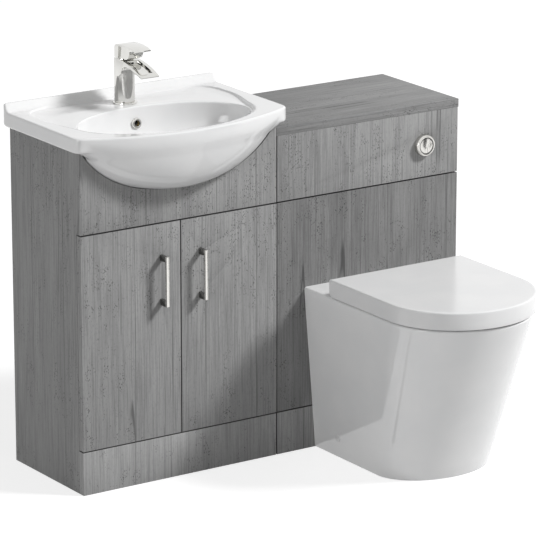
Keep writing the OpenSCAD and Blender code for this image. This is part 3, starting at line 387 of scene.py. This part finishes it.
def dress(node, edge):
    """A copy of a node with its flats joined up and its sharp edges rounded by edge millimetres."""
    bm = bmesh.new()
    bm.from_mesh(NODES[node].data)
    bmesh.ops.remove_doubles(bm, verts=bm.verts, dist=SAME_PLACE)
    bmesh.ops.dissolve_limit(bm, angle_limit=JOIN_TURN, verts=bm.verts, edges=bm.edges)
    turns = {e: e.calc_face_angle(0) if len(e.link_faces) == 2 else 0 for e in bm.edges}
    sharp = [e for e, turn in turns.items() if turn > SHARP_TURN]
    for face in bm.faces:
        face.smooth = any(FLAT_TURN < turns[e] <= SHARP_TURN for e in face.edges)
    rounding = {"offset": edge * MM, "segments": 2, "profile": 0.5, "clamp_overlap": True}
    made = bmesh.ops.bevel(bm, geom=sharp, affect="EDGES", **rounding)
    for face in made["faces"]:
        face.smooth = True
    mesh = bpy.data.meshes.new(node + "_dressed")
    bm.to_mesh(mesh)
    bm.free()
    mesh.set_sharp_from_angle(angle=SHADED_TURN)
    add_object(node + "_dressed", mesh, node)


def skin(name, rings, node, first_tip, last_tip, angle):
    """A surface over closed rings of points in millimetres and the tips at its ends, in place of a node."""
    rings = np.array(rings)
    n, m = rings.shape[:2]
    points = [tuple(p * MM) for p in rings.reshape(-1, 3)]
    faces = []
    for i in range(n - 1):
        for j in range(m):
            a, b = i * m + j, i * m + (j + 1) % m
            faces.append((a, b, b + m, a + m))
    for tip, base in ((first_tip, 0), (last_tip, (n - 1) * m)):
        points.append(tuple(np.array(tip) * MM))
        faces += [(base + j, base + (j + 1) % m, len(points) - 1) for j in range(m)]
    mesh = bpy.data.meshes.new(name)
    mesh.from_pydata(points, [], faces)
    bm = bmesh.new()
    bm.from_mesh(mesh)
    bmesh.ops.recalc_face_normals(bm, faces=bm.faces)
    bm.to_mesh(mesh)
    bm.free()
    smooth(mesh, angle)
    return add_object(name, mesh, node)


# ---- basin: x from its middle, y from the face of the doors, z from the floor, in millimetres ----
QUARTER = math.pi / 2
TINY, FAR = 1e-5, 1e5
HALF_W = (BASIN_HIGH[0] - BASIN_LOW[0]) / 2
BACK, BOW = BASIN_HIGH[1] - FRONT_Y, FRONT_Y - BASIN_LOW[1]
# The bowed front starts CORNER in front of the doors; the rays of all outlines start at CENTRE_Y
CORNER, CORNER_POWER, CENTRE_Y = 14, 40, 60
TAP_Y = BACK - 78

# The skirt stands over the cabinet's sides; in front the rim drops and folds into the belly
SKIRT_Z = high("vanity_left_side")[2]
SKIRT_H, SKIRT_R = 36, 7
SKIRT_TURN, SKIRT_END = 34, 8
RIM_Z, RIM_R = SKIRT_Z + SKIRT_H, 5
FRONT_DROP, FOLD_START, FOLD = 24, 6, 53

# Sunk deck: distances from the outline, where its straight sides end, how it keeps off the bowl's lip
SUNK_SIDE, SUNK_BACK, SUNK_FRONT, SUNK_TURN, SUNK_OFF = 29.5, 25, 21, 129, 9
DECK_Z, DECK_EDGE = RIM_Z - 4, 4.5
SAG, SAG_START, SAG_RUN = 3.5, 200, 120
UPSTAND, UPSTAND_FOOT, UPSTAND_TOP = 19, 32, 15

# The bowl's lip is an ellipse behind the front edge; the tap stands on the deck behind it
LIP_IN, LIP_H = 3, 4
LIP_Z, BOWL_Z = DECK_Z - LIP_H, RIM_Z - 131
BOWL_REAR, BOWL_FRONT = TAP_Y - 45.5, -BOW + 28.5
BOWL_Y, BOWL_B, BOWL_A = (BOWL_REAR + BOWL_FRONT) / 2, (BOWL_REAR - BOWL_FRONT) / 2, HALF_W - 65.5

# Belly: its widest place, its reach from there, and how wide it may be behind the fascia
BELLY_TOP, BELLY_LOW = RIM_Z - 2, BASIN_LOW[2]
BELLY_Y, BELLY_HALF, BELLY_IN = 22, HALF_W - 6.5, HALF_W - 39.5
BELLY_FRONT, BELLY_REAR = BOW - 1 + BELLY_Y, TAP_Y - 21 - BELLY_Y
BELLY_POWER = 1.8

OVERFLOW_R, OVERFLOW_DEPTH, WALL_TILT = 9.9, 36, 0.12
WASTE_R = 22.4


def basin_angles():
    """Directions from the basin's middle, closer together where its corners turn."""
    front = math.degrees(math.atan2(-CORNER - CENTRE_Y, HALF_W))
    rear = math.degrees(math.atan2(BACK - CENTRE_Y, HALF_W))
    fine = np.concatenate([np.arange(-6, 6, 0.35) + front, np.arange(-7, 7, 0.35) + rear])
    a = np.concatenate([np.arange(-90, 270, 1.5), fine, 180 - fine])
    a = np.sort((a + 90) % 360 - 90)
    return np.radians(a[np.concatenate([[True], np.diff(a) > 0.12])])


ANGLES = basin_angles()
COS, SIN = np.cos(ANGLES), np.sin(ANGLES)


def smoothstep(t):
    t = np.clip(t, 0, 1)
    return t * t * (3 - 2 * t)


def level(points, z):
    """Points in a plane, with their height or heights."""
    return np.column_stack([points, np.broadcast_to(z, len(points))])


def between(first, last, shares):
    """Rings part of the way from the first to the last."""
    return [first * (1 - k) + last * k for k in shares]


def ray(distance, part):
    """Length of each ray to a straight line; part is how much of the ray's way goes towards it."""
    return np.where(part > TINY, distance / np.maximum(part, TINY), FAR)


def at_rays(r, start_y=CENTRE_Y):
    return np.stack([r * COS, start_y + r * SIN], 1)


def rim_outline():
    """The basin's outline from above: bowed front, straight sides and back."""
    k = (BOW - CORNER) / HALF_W ** 2 * COS ** 2
    reach = BOW + CENTRE_Y
    bowed = (SIN + np.sqrt(SIN ** 2 + 4 * k * reach)) / np.maximum(2 * k, TINY ** 2)
    front = np.where(np.abs(COS) > TINY, bowed, ray(reach, -SIN))
    lengths = front, ray(HALF_W, np.abs(COS)), ray(BACK - CENTRE_Y, SIN)
    return at_rays(sum(length ** -CORNER_POWER for length in lengths) ** (-1 / CORNER_POWER))


OUTER = rim_outline()
LIP_RAY = 1 / np.sqrt((COS / BOWL_A) ** 2 + (SIN / BOWL_B) ** 2)
LIP = at_rays(LIP_RAY, BOWL_Y)


def sunk_rays():
    """Reach of the sunk deck: half an ellipse in front that keeps off the bowl, straight sides and back."""
    width, y = HALF_W - SUNK_SIDE, BACK - SUNK_TURN
    reach = y + BOW - SUNK_FRONT
    c, s, q = COS / width, SIN / reach, (y - CENTRE_Y) / reach
    m = c * c + s * s
    arc = (s * q + np.sqrt(s * s * q * q + m * (1 - q * q))) / m
    arc = np.where(CENTRE_Y + arc * SIN > y, ray(width, np.abs(COS)), arc)
    rear = ray(BACK - SUNK_BACK - CENTRE_Y, SIN)
    r = (arc ** -8.0 + rear ** -8.0) ** (-1 / 8)
    off = LIP_RAY + SUNK_OFF
    return np.maximum(r, off) * (1 + (np.minimum(r, off) / np.maximum(r, off)) ** 24) ** (1 / 24)


def inset(points, d):
    """An outline drawn in by about d on all sides."""
    reach = np.where(points[:, 1] > CENTRE_Y, BACK - CENTRE_Y, BOW + CENTRE_Y)
    y = CENTRE_Y + (points[:, 1] - CENTRE_Y) * (1 - d / reach)
    return np.stack([points[:, 0] * (1 - d / HALF_W), y], 1)


def upstand(y):
    """Height of the raised back edge over the rim."""
    rise = UPSTAND * np.clip((y - BACK + UPSTAND_FOOT) / (UPSTAND_FOOT - UPSTAND_TOP), 0, 1) ** 1.8
    crown = UPSTAND * (1 - 0.5 * np.clip((y - BACK + UPSTAND_TOP) / UPSTAND_TOP, 0, 1) ** 4)
    return np.where(y - BACK < -UPSTAND_TOP, rise, crown)


def sag(y):
    """The deck sinks a little further beside and in front of the bowl."""
    return SAG * smoothstep((SAG_START - y) / SAG_RUN)


def belly(z):
    """Section of the basin's underside at height z."""
    t = np.clip((BELLY_TOP - z) / (BELLY_TOP - BELLY_LOW), 0, 1)
    s = max(1 - t ** 1.48, 1e-6) ** (1 / 2.45)
    x, w = OUTER[:, 0], OUTER[:, 1] - BELLY_Y
    reach = np.where(w < 0, BELLY_FRONT, BELLY_REAR) * s ** 0.75
    across, along = np.abs(x) / (BELLY_HALF * s), np.abs(w) / reach
    e = (across ** BELLY_POWER + along ** BELLY_POWER) ** (-1 / BELLY_POWER)
    x, y = e * x, BELLY_Y + e * w
    # Over the last 5 mm in front of the doors' face it draws in, to pass between the cabinet's sides
    behind = np.clip((y + 5) / 5, 0, 1)
    drawn_in = np.sign(x) * (np.abs(x) * (1 - behind) + BELLY_IN * behind)
    return level(np.stack([np.where(np.abs(x) > BELLY_IN, drawn_in, x), y], 1), z)


def folded(z):
    """How far the front has turned from the rim's outline into the belly at height z."""
    return smoothstep((RIM_Z - z - FOLD_START) / FOLD)


def flat_part():
    """How much of the flat skirt is left at each point: all at the sides and back, none in front."""
    ends = (np.abs(OUTER[:, 0]) - HALF_W + SKIRT_TURN) / (SKIRT_TURN - SKIRT_END)
    return smoothstep(np.where(OUTER[:, 1] > 0, 1, ends))[:, None]


def skirt(d, z, z_front):
    """Ring on the outer side: flat skirt at the sides and back, rim flowing into the belly in front."""
    fold, flat = folded(z_front), flat_part()
    front = level(OUTER, z_front) * (1 - fold) + belly(z_front) * fold
    return level(inset(OUTER, d), z) * flat + front * (1 - flat)


def under(z):
    """Ring below the skirt: the belly, which flares out to the basin's corners in front of the fascia."""
    flat, left = flat_part(), 1 - folded(SKIRT_Z)
    share = (flat + (1 - flat) * left) * (1 - folded(z)) / left
    share = share * np.clip((-2 - OUTER[:, 1:]) / 10, 0, 1)
    corner = inset(OUTER, SKIRT_R) * flat + OUTER * (1 - flat)
    return level(corner, z) * share + belly(z) * (1 - share)


def bore(piece, place, axis, radius, depth):
    """Cuts a round hole of a given depth in a piece; place and sizes in millimetres."""
    turn = Vector(axis).to_track_quat("Z", "Y").to_matrix().to_4x4()
    shape, r, length = bmesh.new(), radius * MM, depth * MM
    bmesh.ops.create_cone(shape, cap_ends=True, segments=64, radius1=r, radius2=r, depth=length)
    bmesh.ops.translate(shape, vec=(0, 0, length / 2), verts=shape.verts)
    bmesh.ops.transform(shape, matrix=turn, verts=shape.verts)
    bmesh.ops.translate(shape, vec=Vector(place) * MM, verts=shape.verts)
    cut_out(piece, shape, 60)


def notch(piece, corner, size):
    """Cuts a box out of a piece; corner and size in millimetres."""
    shape = bmesh.new()
    bmesh.ops.create_cube(shape, size=1)
    bmesh.ops.scale(shape, vec=Vector(size) * MM, verts=shape.verts)
    bmesh.ops.translate(shape, vec=Vector(np.array(corner) + np.array(size) / 2) * MM, verts=shape.verts)
    cut_out(piece, shape, 50)


def cut_out(piece, shape, angle):
    """Takes a closed shape out of a piece and shades what is left."""
    mesh = bpy.data.meshes.new("cutter")
    shape.to_mesh(mesh)
    shape.free()
    cutter = bpy.data.objects.new("cutter", mesh)
    bpy.context.scene.collection.objects.link(cutter)
    cut = piece.modifiers.new("cut", "BOOLEAN")
    cut.object = cutter
    cut.operation = "DIFFERENCE"
    cut.solver = "EXACT"
    result = bpy.data.meshes.new_from_object(piece.evaluated_get(bpy.context.evaluated_depsgraph_get()))
    piece.modifiers.clear()
    piece.data = result
    smooth(result, angle)
    bpy.data.objects.remove(cutter)


def paint_hole_shade(piece, place, axis, radius, start):
    """Paints the inside of a hole, from start millimetres in, dark grey: painted shade for a channel that no
    light reaches.
    """
    way, origin = Vector(axis).normalized(), Vector(place) * MM
    piece.data.materials.append(HOLE_SHADE)
    for face in piece.data.polygons:
        out = face.center - origin
        along = out.dot(way)
        if along > start * MM and (out - along * way).length < (radius + 0.2) * MM:
            face.material_index = 1


def build_basin():
    waste_y = (low("waste_body")[1] + high("waste_body")[1]) / 2 - FRONT_Y

    def bowl_ring(t):
        """Ring of the bowl, from its lip where t is 0 to its middle where t is 1."""
        s = (1 - t ** 2.5) ** (1 / 2.6)
        z = LIP_Z - (LIP_Z - BOWL_Z) * t - sag(LIP[:, 1]) * (1 - t) ** 12
        return level(np.stack([LIP[:, 0] * s, waste_y + (LIP[:, 1] - waste_y) * s], 1), z)

    def grown(d, z):
        """The lip's ring, grown by d."""
        p = np.stack([LIP[:, 0] * (1 + d / BOWL_A), BOWL_Y + (LIP[:, 1] - BOWL_Y) * (1 + d / BOWL_B)], 1)
        return level(p, z - sag(LIP[:, 1]))

    rings = [bowl_ring(1 - u ** 2.4) for u in np.linspace(0.09, 1, 44)]
    for a in np.linspace(0.25, QUARTER, 7):
        rings.append(grown(LIP_IN * (1 - math.cos(a)), LIP_Z + LIP_H * math.sin(a)))
    # Deck, and its edge up to the rim
    foot, edge = at_rays(sunk_rays() - DECK_EDGE), at_rays(sunk_rays())
    start = level(foot, DECK_Z - sag(foot[:, 1]))
    end = level(edge, RIM_Z + upstand(edge[:, 1]))
    rings += between(rings[-1], start, (0.25, 0.6, 1))
    for k in np.linspace(0.14, 1, 8):
        p = start * (1 - k) + end * k
        p[:, 2] = start[:, 2] + (end[:, 2] - start[:, 2]) * smoothstep(k)
        rings.append(p)
    # Top of the rim and its rounded outer edge
    for p in between(edge, inset(OUTER, RIM_R), np.linspace(0.08, 1, 16)):
        rings.append(level(p, RIM_Z + upstand(p[:, 1])))
    for a in np.linspace(0.2, QUARTER, 8):
        p = inset(OUTER, RIM_R * (1 - math.sin(a)))
        rings.append(level(p, RIM_Z + upstand(p[:, 1]) - RIM_R * (1 - math.cos(a))))
    # Skirt and its rounded foot, while the front comes down to the foot's height at its own pace
    side, front = SKIRT_H - SKIRT_R - RIM_R, FRONT_DROP - RIM_R
    for k in np.linspace(0.12, 1, 12):
        rings.append(skirt(0, RIM_Z - RIM_R - side * k, RIM_Z - RIM_R - front * k))
    for a in np.linspace(0.2, QUARTER, 7):
        z_front = RIM_Z - FRONT_DROP - (SKIRT_H - FRONT_DROP) * a / QUARTER
        rings.append(skirt(SKIRT_R * (1 - math.cos(a)), SKIRT_Z + SKIRT_R * (1 - math.sin(a)), z_front))
    rings += between(skirt(SKIRT_R, SKIRT_Z, SKIRT_Z), under(SKIRT_Z), (0.5, 1))
    # Belly, in shares of its depth
    first, last = 0.235, 0.9985
    for u in np.linspace(0.04, 1, 40):
        t = first + (last - first) * (1 - (1 - u) ** 1.9)
        rings.append(under(BELLY_TOP - t * (BELLY_TOP - BELLY_LOW)))
    shift = np.array([BASIN_X, FRONT_Y, 0])
    tips = shift + [0, waste_y, BOWL_Z], shift + [0, BELLY_Y + 30, BELLY_LOW]
    shell = skin("basin_shell", [r + shift for r in rings], "basin", *tips, angle=60)
    # Overflow hole, which starts well in front of its ring, and waste hole from below
    ring, inwards = (low("overflow_ring") + high("overflow_ring")) / 2, (0, 1, -WALL_TILT)
    bore(shell, ring - [0, 12, 0], inwards, OVERFLOW_R, OVERFLOW_DEPTH)
    # Painted shade inside the overflow's channel
    paint_hole_shade(shell, ring, inwards, OVERFLOW_R, -2)
    bore(shell, shift + [0, waste_y, BELLY_LOW - 10], (0, 0, 1), WASTE_R, 60)


# ---- toilet: x from the pan's middle, y from its back, z from the floor, in millimetres ----
# The wall flares from foot to rim, and its straight sides end S from the back. The rim's rounding cuts off
# the last of the flare, so the width and reach at the rim's height are a little more than the solid's
RIM_H, PAN_R = PAN_HIGH[2], 7
PAN_HALF, RIM_S, RIM_REACH = (PAN_HIGH[0] - PAN_LOW[0]) / 2 + 0.5, 345, PAN_Y - PAN_LOW[1] + 2.3
FOOT_HALF, FOOT_S, FOOT_REACH = 153, 253, 363
# Half width, near end and far end of the bowl's mouth and of its low part
MOUTH, SUMP = np.array([PAN_HALF - 56, 154, RIM_REACH - 45]), np.array([45, 214, 270])
MOUTH_Z, MOUTH_R, MOUTH_Y, SUMP_DROP = RIM_H - 12, 8, 300, 288


def d_loop(w, s, front, back):
    """Closed loop: back edge, straight sides to y = -s, half ellipse to y = -front."""
    rows, arc, rear = 36, 110, 16
    run = np.linspace(0, 1, rows, endpoint=False) ** 1.35
    side = -back - run * (s - back)
    a = np.linspace(0, math.pi, arc)
    back_edge = np.linspace(-w, w, rear + 2)[1:-1]
    x = np.concatenate([np.full(rows, w), w * np.cos(a), np.full(rows, -w), back_edge])
    y = np.concatenate([side, -s - (front - s) * np.sin(a), side[::-1], np.full(rear, -back)])
    return np.stack([x, y], 1)


def wall_loop(z, d):
    """Ring of the pan's outside at height z, drawn in by d."""
    t = z / RIM_H
    w = FOOT_HALF + (PAN_HALF - FOOT_HALF) * t
    s = FOOT_S + (RIM_S - FOOT_S) * t
    front = FOOT_REACH + (RIM_REACH - FOOT_REACH) * t
    return level(d_loop(w - d, s, front - d, 0), z)


def build_pan():
    loop = d_loop(PAN_HALF, RIM_S, RIM_REACH, 0)
    turn = np.arctan2(-loop[:, 1] - MOUTH_Y, loop[:, 0])

    def ellipse(sizes, z):
        w, near, far = sizes
        return level(np.stack([w * np.cos(turn), -(near + far) / 2 - (far - near) / 2 * np.sin(turn)], 1), z)

    rings = []
    for u in np.linspace(0.1, 1, 36):
        t = 1 - u ** 2
        s = (1 - t ** 2.2) ** (1 / 2.2)
        rings.append(ellipse(SUMP + (MOUTH - SUMP) * s, MOUTH_Z - SUMP_DROP * t))
    for a in np.linspace(0.15, QUARTER, 6):
        grow = MOUTH_R * (1 - math.cos(a))
        rings.append(ellipse(MOUTH + [grow, -grow, grow], RIM_H - MOUTH_R * (1 - math.sin(a))))
    rings += between(rings[-1], wall_loop(RIM_H, PAN_R), (0.3, 0.65))
    for a in np.linspace(0, QUARTER, 8):
        rings.append(wall_loop(RIM_H - PAN_R * (1 - math.cos(a)), PAN_R * (1 - math.sin(a))))
    rings += [wall_loop(z, 0) for z in np.linspace(RIM_H - 20, 3, 12)]
    rings += [wall_loop(0.6, 0.6), wall_loop(0, 2)]
    shift = np.array([PAN_X, PAN_Y, 0])
    tips = shift + [0, -240, MOUTH_Z - SUMP_DROP - 2], shift + [0, -180, 0]
    skin("pan_body", [r + shift for r in rings], "toilet_pan", *tips, angle=50)


LID_HALF = (LID_HIGH[0] - LID_LOW[0]) / 2
LID_BACK, LID_REACH = PAN_Y - LID_HIGH[1], PAN_Y - LID_LOW[1]
# The flat top rises by CROWN to its middle; ROOF is how thick it is
LID_TOP, CROWN, ROOF, LID_R = LID_HIGH[2] - 0.2, 0.2, 6, 4.5
# At the back the hem keeps SWEEP off the hinges' axis, and two notches leave room for their posts
HINGE_X = (high("seat_hinges")[0] - low("seat_hinges")[0]) / 2 - 19
HINGE_Y, HINGE_Z, SWEEP = -128, RIM_H + 24, 23.4
NOTCH_W, NOTCH_IN, NOTCH_TOP = 17, 7, HINGE_Z + 13


def lid_loop(d, z):
    """The lid's outline, drawn in by d; its straight sides end where the pan's do."""
    return level(d_loop(LID_HALF - d, RIM_S, LID_REACH - d, LID_BACK + d), z)


def build_lid():
    def hem(d, up=0.0):
        """Lower edge of the lid, just over the pan, and round the hinges at the back."""
        p = lid_loop(d, 0)
        back = np.maximum(0, p[:, 1] - HINGE_Y)
        p[:, 2] = np.maximum(RIM_H + 3.5, HINGE_Z - np.sqrt(np.maximum(0, SWEEP ** 2 - back ** 2))) + up
        return p

    widest = 150
    rings = []
    for d in (widest, 110, 75, 45, 25, 14, 8):
        rings.append(lid_loop(d, LID_TOP + CROWN - 0.5 * (1 - d / widest) ** 3))
    for a in np.linspace(0.1, QUARTER, 10):
        rings.append(lid_loop(LID_R * (1 - math.sin(a)), LID_TOP - 0.4 - LID_R * (1 - math.cos(a))))
    rings += between(rings[-1], hem(0), (0.3, 0.6, 0.93))
    rings += [hem(0.4, 0.2), hem(1.2), hem(3.8), hem(4.7, 0.4)]
    for d, depth in ((5, 12), (6, 8.5), (9, ROOF), (60, ROOF), (widest, ROOF)):
        rings.append(lid_loop(d, LID_TOP - depth))
    shift = np.array([PAN_X, PAN_Y, 0])
    tips = shift + [0, -316, LID_TOP + CROWN], shift + [0, -316, LID_TOP - ROOF]
    shell = skin("lid_shell", [r + shift for r in rings], "seat_lid", *tips, angle=50)
    for side in (-1, 1):
        corner = shift + [side * HINGE_X - NOTCH_W / 2, -LID_BACK - NOTCH_IN, RIM_H]
        notch(shell, corner, (NOTCH_W, NOTCH_IN + 5, NOTCH_TOP - RIM_H))


# ---- what is shown: three pieces in their own meshes, and every other node dressed ----
build_basin()
build_pan()
build_lid()
BUILT = {"basin", "toilet_pan", "seat_lid"}
# Rounding of sharp edges, in millimetres, where it isn't the usual one
USUAL_EDGE = 0.4
EDGES = {
    "tap_body": 0.5, "tap_lever": 0.6, "tap_base_ring": 0.3, "flush_bezel": 0.25,
    "handle_left": 0.3, "handle_right": 0.3,
}
for node in NODES:
    if node not in BUILT:
        dress(node, EDGES.get(node, USUAL_EDGE))


# ---- stage, in metres ----
def showing_rays(tree):
    """1 for the camera's rays, and for those that show a surface in a reflection or through a clear piece."""
    path = tree.nodes.new("ShaderNodeLightPath")
    showing = path.outputs["Is Camera Ray"]
    for kind in ("Is Glossy Ray", "Is Transmission Ray"):
        most = tree.nodes.new("ShaderNodeMath")
        most.operation = "MAXIMUM"
        tree.links.new(showing, most.inputs[0])
        tree.links.new(path.outputs[kind], most.inputs[1])
        showing = most.outputs[0]
    return showing


def studio_material(name, tone, glow=None):
    """Matt grey; with a glow it looks paler, nearly white, but lights nothing and still takes shadows."""
    material = bpy.data.materials.new(name)
    material.use_nodes = True
    tree = material.node_tree
    tree.nodes.clear()
    matt = tree.nodes.new("ShaderNodeBsdfDiffuse")
    matt.inputs["Color"].default_value = (tone, tone, tone, 1)
    surface = matt.outputs[0]
    if glow is not None:
        strength = tree.nodes.new("ShaderNodeMath")
        strength.operation = "MULTIPLY"
        tree.links.new(showing_rays(tree), strength.inputs[0])
        strength.inputs[1].default_value = glow
        glowing = tree.nodes.new("ShaderNodeEmission")
        tree.links.new(strength.outputs[0], glowing.inputs["Strength"])
        both = tree.nodes.new("ShaderNodeAddShader")
        tree.links.new(surface, both.inputs[0])
        tree.links.new(glowing.outputs[0], both.inputs[1])
        surface = both.outputs[0]
    out = tree.nodes.new("ShaderNodeOutputMaterial")
    tree.links.new(surface, out.inputs["Surface"])
    return material


def rectangle(name, size, material):
    mesh = bpy.data.meshes.new(name)
    w, h = size[0] / 2, size[1] / 2
    mesh.from_pydata([(-w, -h, 0), (w, -h, 0), (w, h, 0), (-w, h, 0)], [], [(0, 1, 2, 3)])
    mesh.materials.append(material)
    return bpy.data.objects.new(name, mesh)


def aimed(thing, place, target):
    """Puts a lamp or card in the scene with its face towards a target."""
    thing.location = place
    thing.rotation_euler = (Vector(target) - Vector(place)).to_track_quat("-Z", "Y").to_euler()
    bpy.context.scene.collection.objects.link(thing)
    return thing


def add_floor():
    """Floor half a millimetre below the object, so that the two don't share a plane."""
    floor = rectangle("floor", (60, 60), studio_material("pale_floor", 0.46, 0.74))
    floor.location.z = -0.0005
    bpy.context.scene.collection.objects.link(floor)


def add_world(light, shown):
    """White surroundings, with one strength for the light that they give and one for how they look."""
    world = bpy.data.worlds.new("studio")
    bpy.context.scene.world = world
    world.use_nodes = True
    tree = world.node_tree
    strength = tree.nodes.new("ShaderNodeMapRange")
    tree.links.new(showing_rays(tree), strength.inputs["Value"])
    strength.inputs["To Min"].default_value = light
    strength.inputs["To Max"].default_value = shown
    background = tree.nodes["Background"]
    tree.links.new(strength.outputs["Result"], background.inputs["Strength"])
    background.inputs["Color"].default_value = (1, 1, 1, 1)


def add_area(name, place, target, size, power):
    lamp = bpy.data.lights.new(name, "AREA")
    lamp.shape = "RECTANGLE"
    lamp.size, lamp.size_y = size
    lamp.energy = power
    return aimed(bpy.data.objects.new(name, lamp), place, target)


def add_flag(name, place, target, size, tone):
    """Dark studio card that only reflections see, for contrast in the chrome and the glaze."""
    card = aimed(rectangle(name, size, studio_material(name, tone)), place, target)
    card.visible_camera = False
    card.visible_diffuse = False
    card.visible_shadow = False


# Camera found from the photograph: place in millimetres from the vanity's front lower left corner
CAMERA_PLACE = np.array([-4191.4, -7030.36, 2887.04])
CAMERA_YAW, CAMERA_PITCH, CAMERA_LENS = 33.7776, 16.0277, 252.13


def add_camera():
    data = bpy.data.cameras.new("camera")
    data.lens, data.sensor_width = CAMERA_LENS, 36
    data.clip_end = 200
    camera = bpy.data.objects.new("camera", data)
    camera.location = (CAMERA_PLACE + [VANITY_X, FRONT_Y, 0]) * MM
    camera.rotation_euler = (math.radians(90 - CAMERA_PITCH), 0, math.radians(-CAMERA_YAW))
    bpy.context.scene.collection.objects.link(camera)
    bpy.context.scene.camera = camera


UNIT_MIDDLE, BASIN_FRONT = (0, 0, 0.5), (BASIN_X * MM, 0, 0.8)
add_floor()
add_world(light=0.23, shown=1.0)
key = add_area("key", (9.3, -8.0, 11.0), UNIT_MIDDLE, size=(3.0, 3.0), power=2260)
key.visible_glossy = False
add_area("fill", (-5.2, -2.0, 1.6), UNIT_MIDDLE, size=(2.4, 2.4), power=62)
add_flag("dark_flag_left", (-2.5, -1.9, 1.0), BASIN_FRONT, size=(1.1, 2.4), tone=0.03)
add_flag("dark_flag_right", (2.2, -2.4, 0.8), BASIN_FRONT, size=(1.3, 2.2), tone=0.06)
# A strip that lies on the floor
add_flag("dark_strip", (-0.95, -0.18, 0.001), (-0.95, -0.18, 1.0), size=(1.9, 0.028), tone=0.03)
add_camera()
bpy.context.scene.view_settings.view_transform = "Standard"
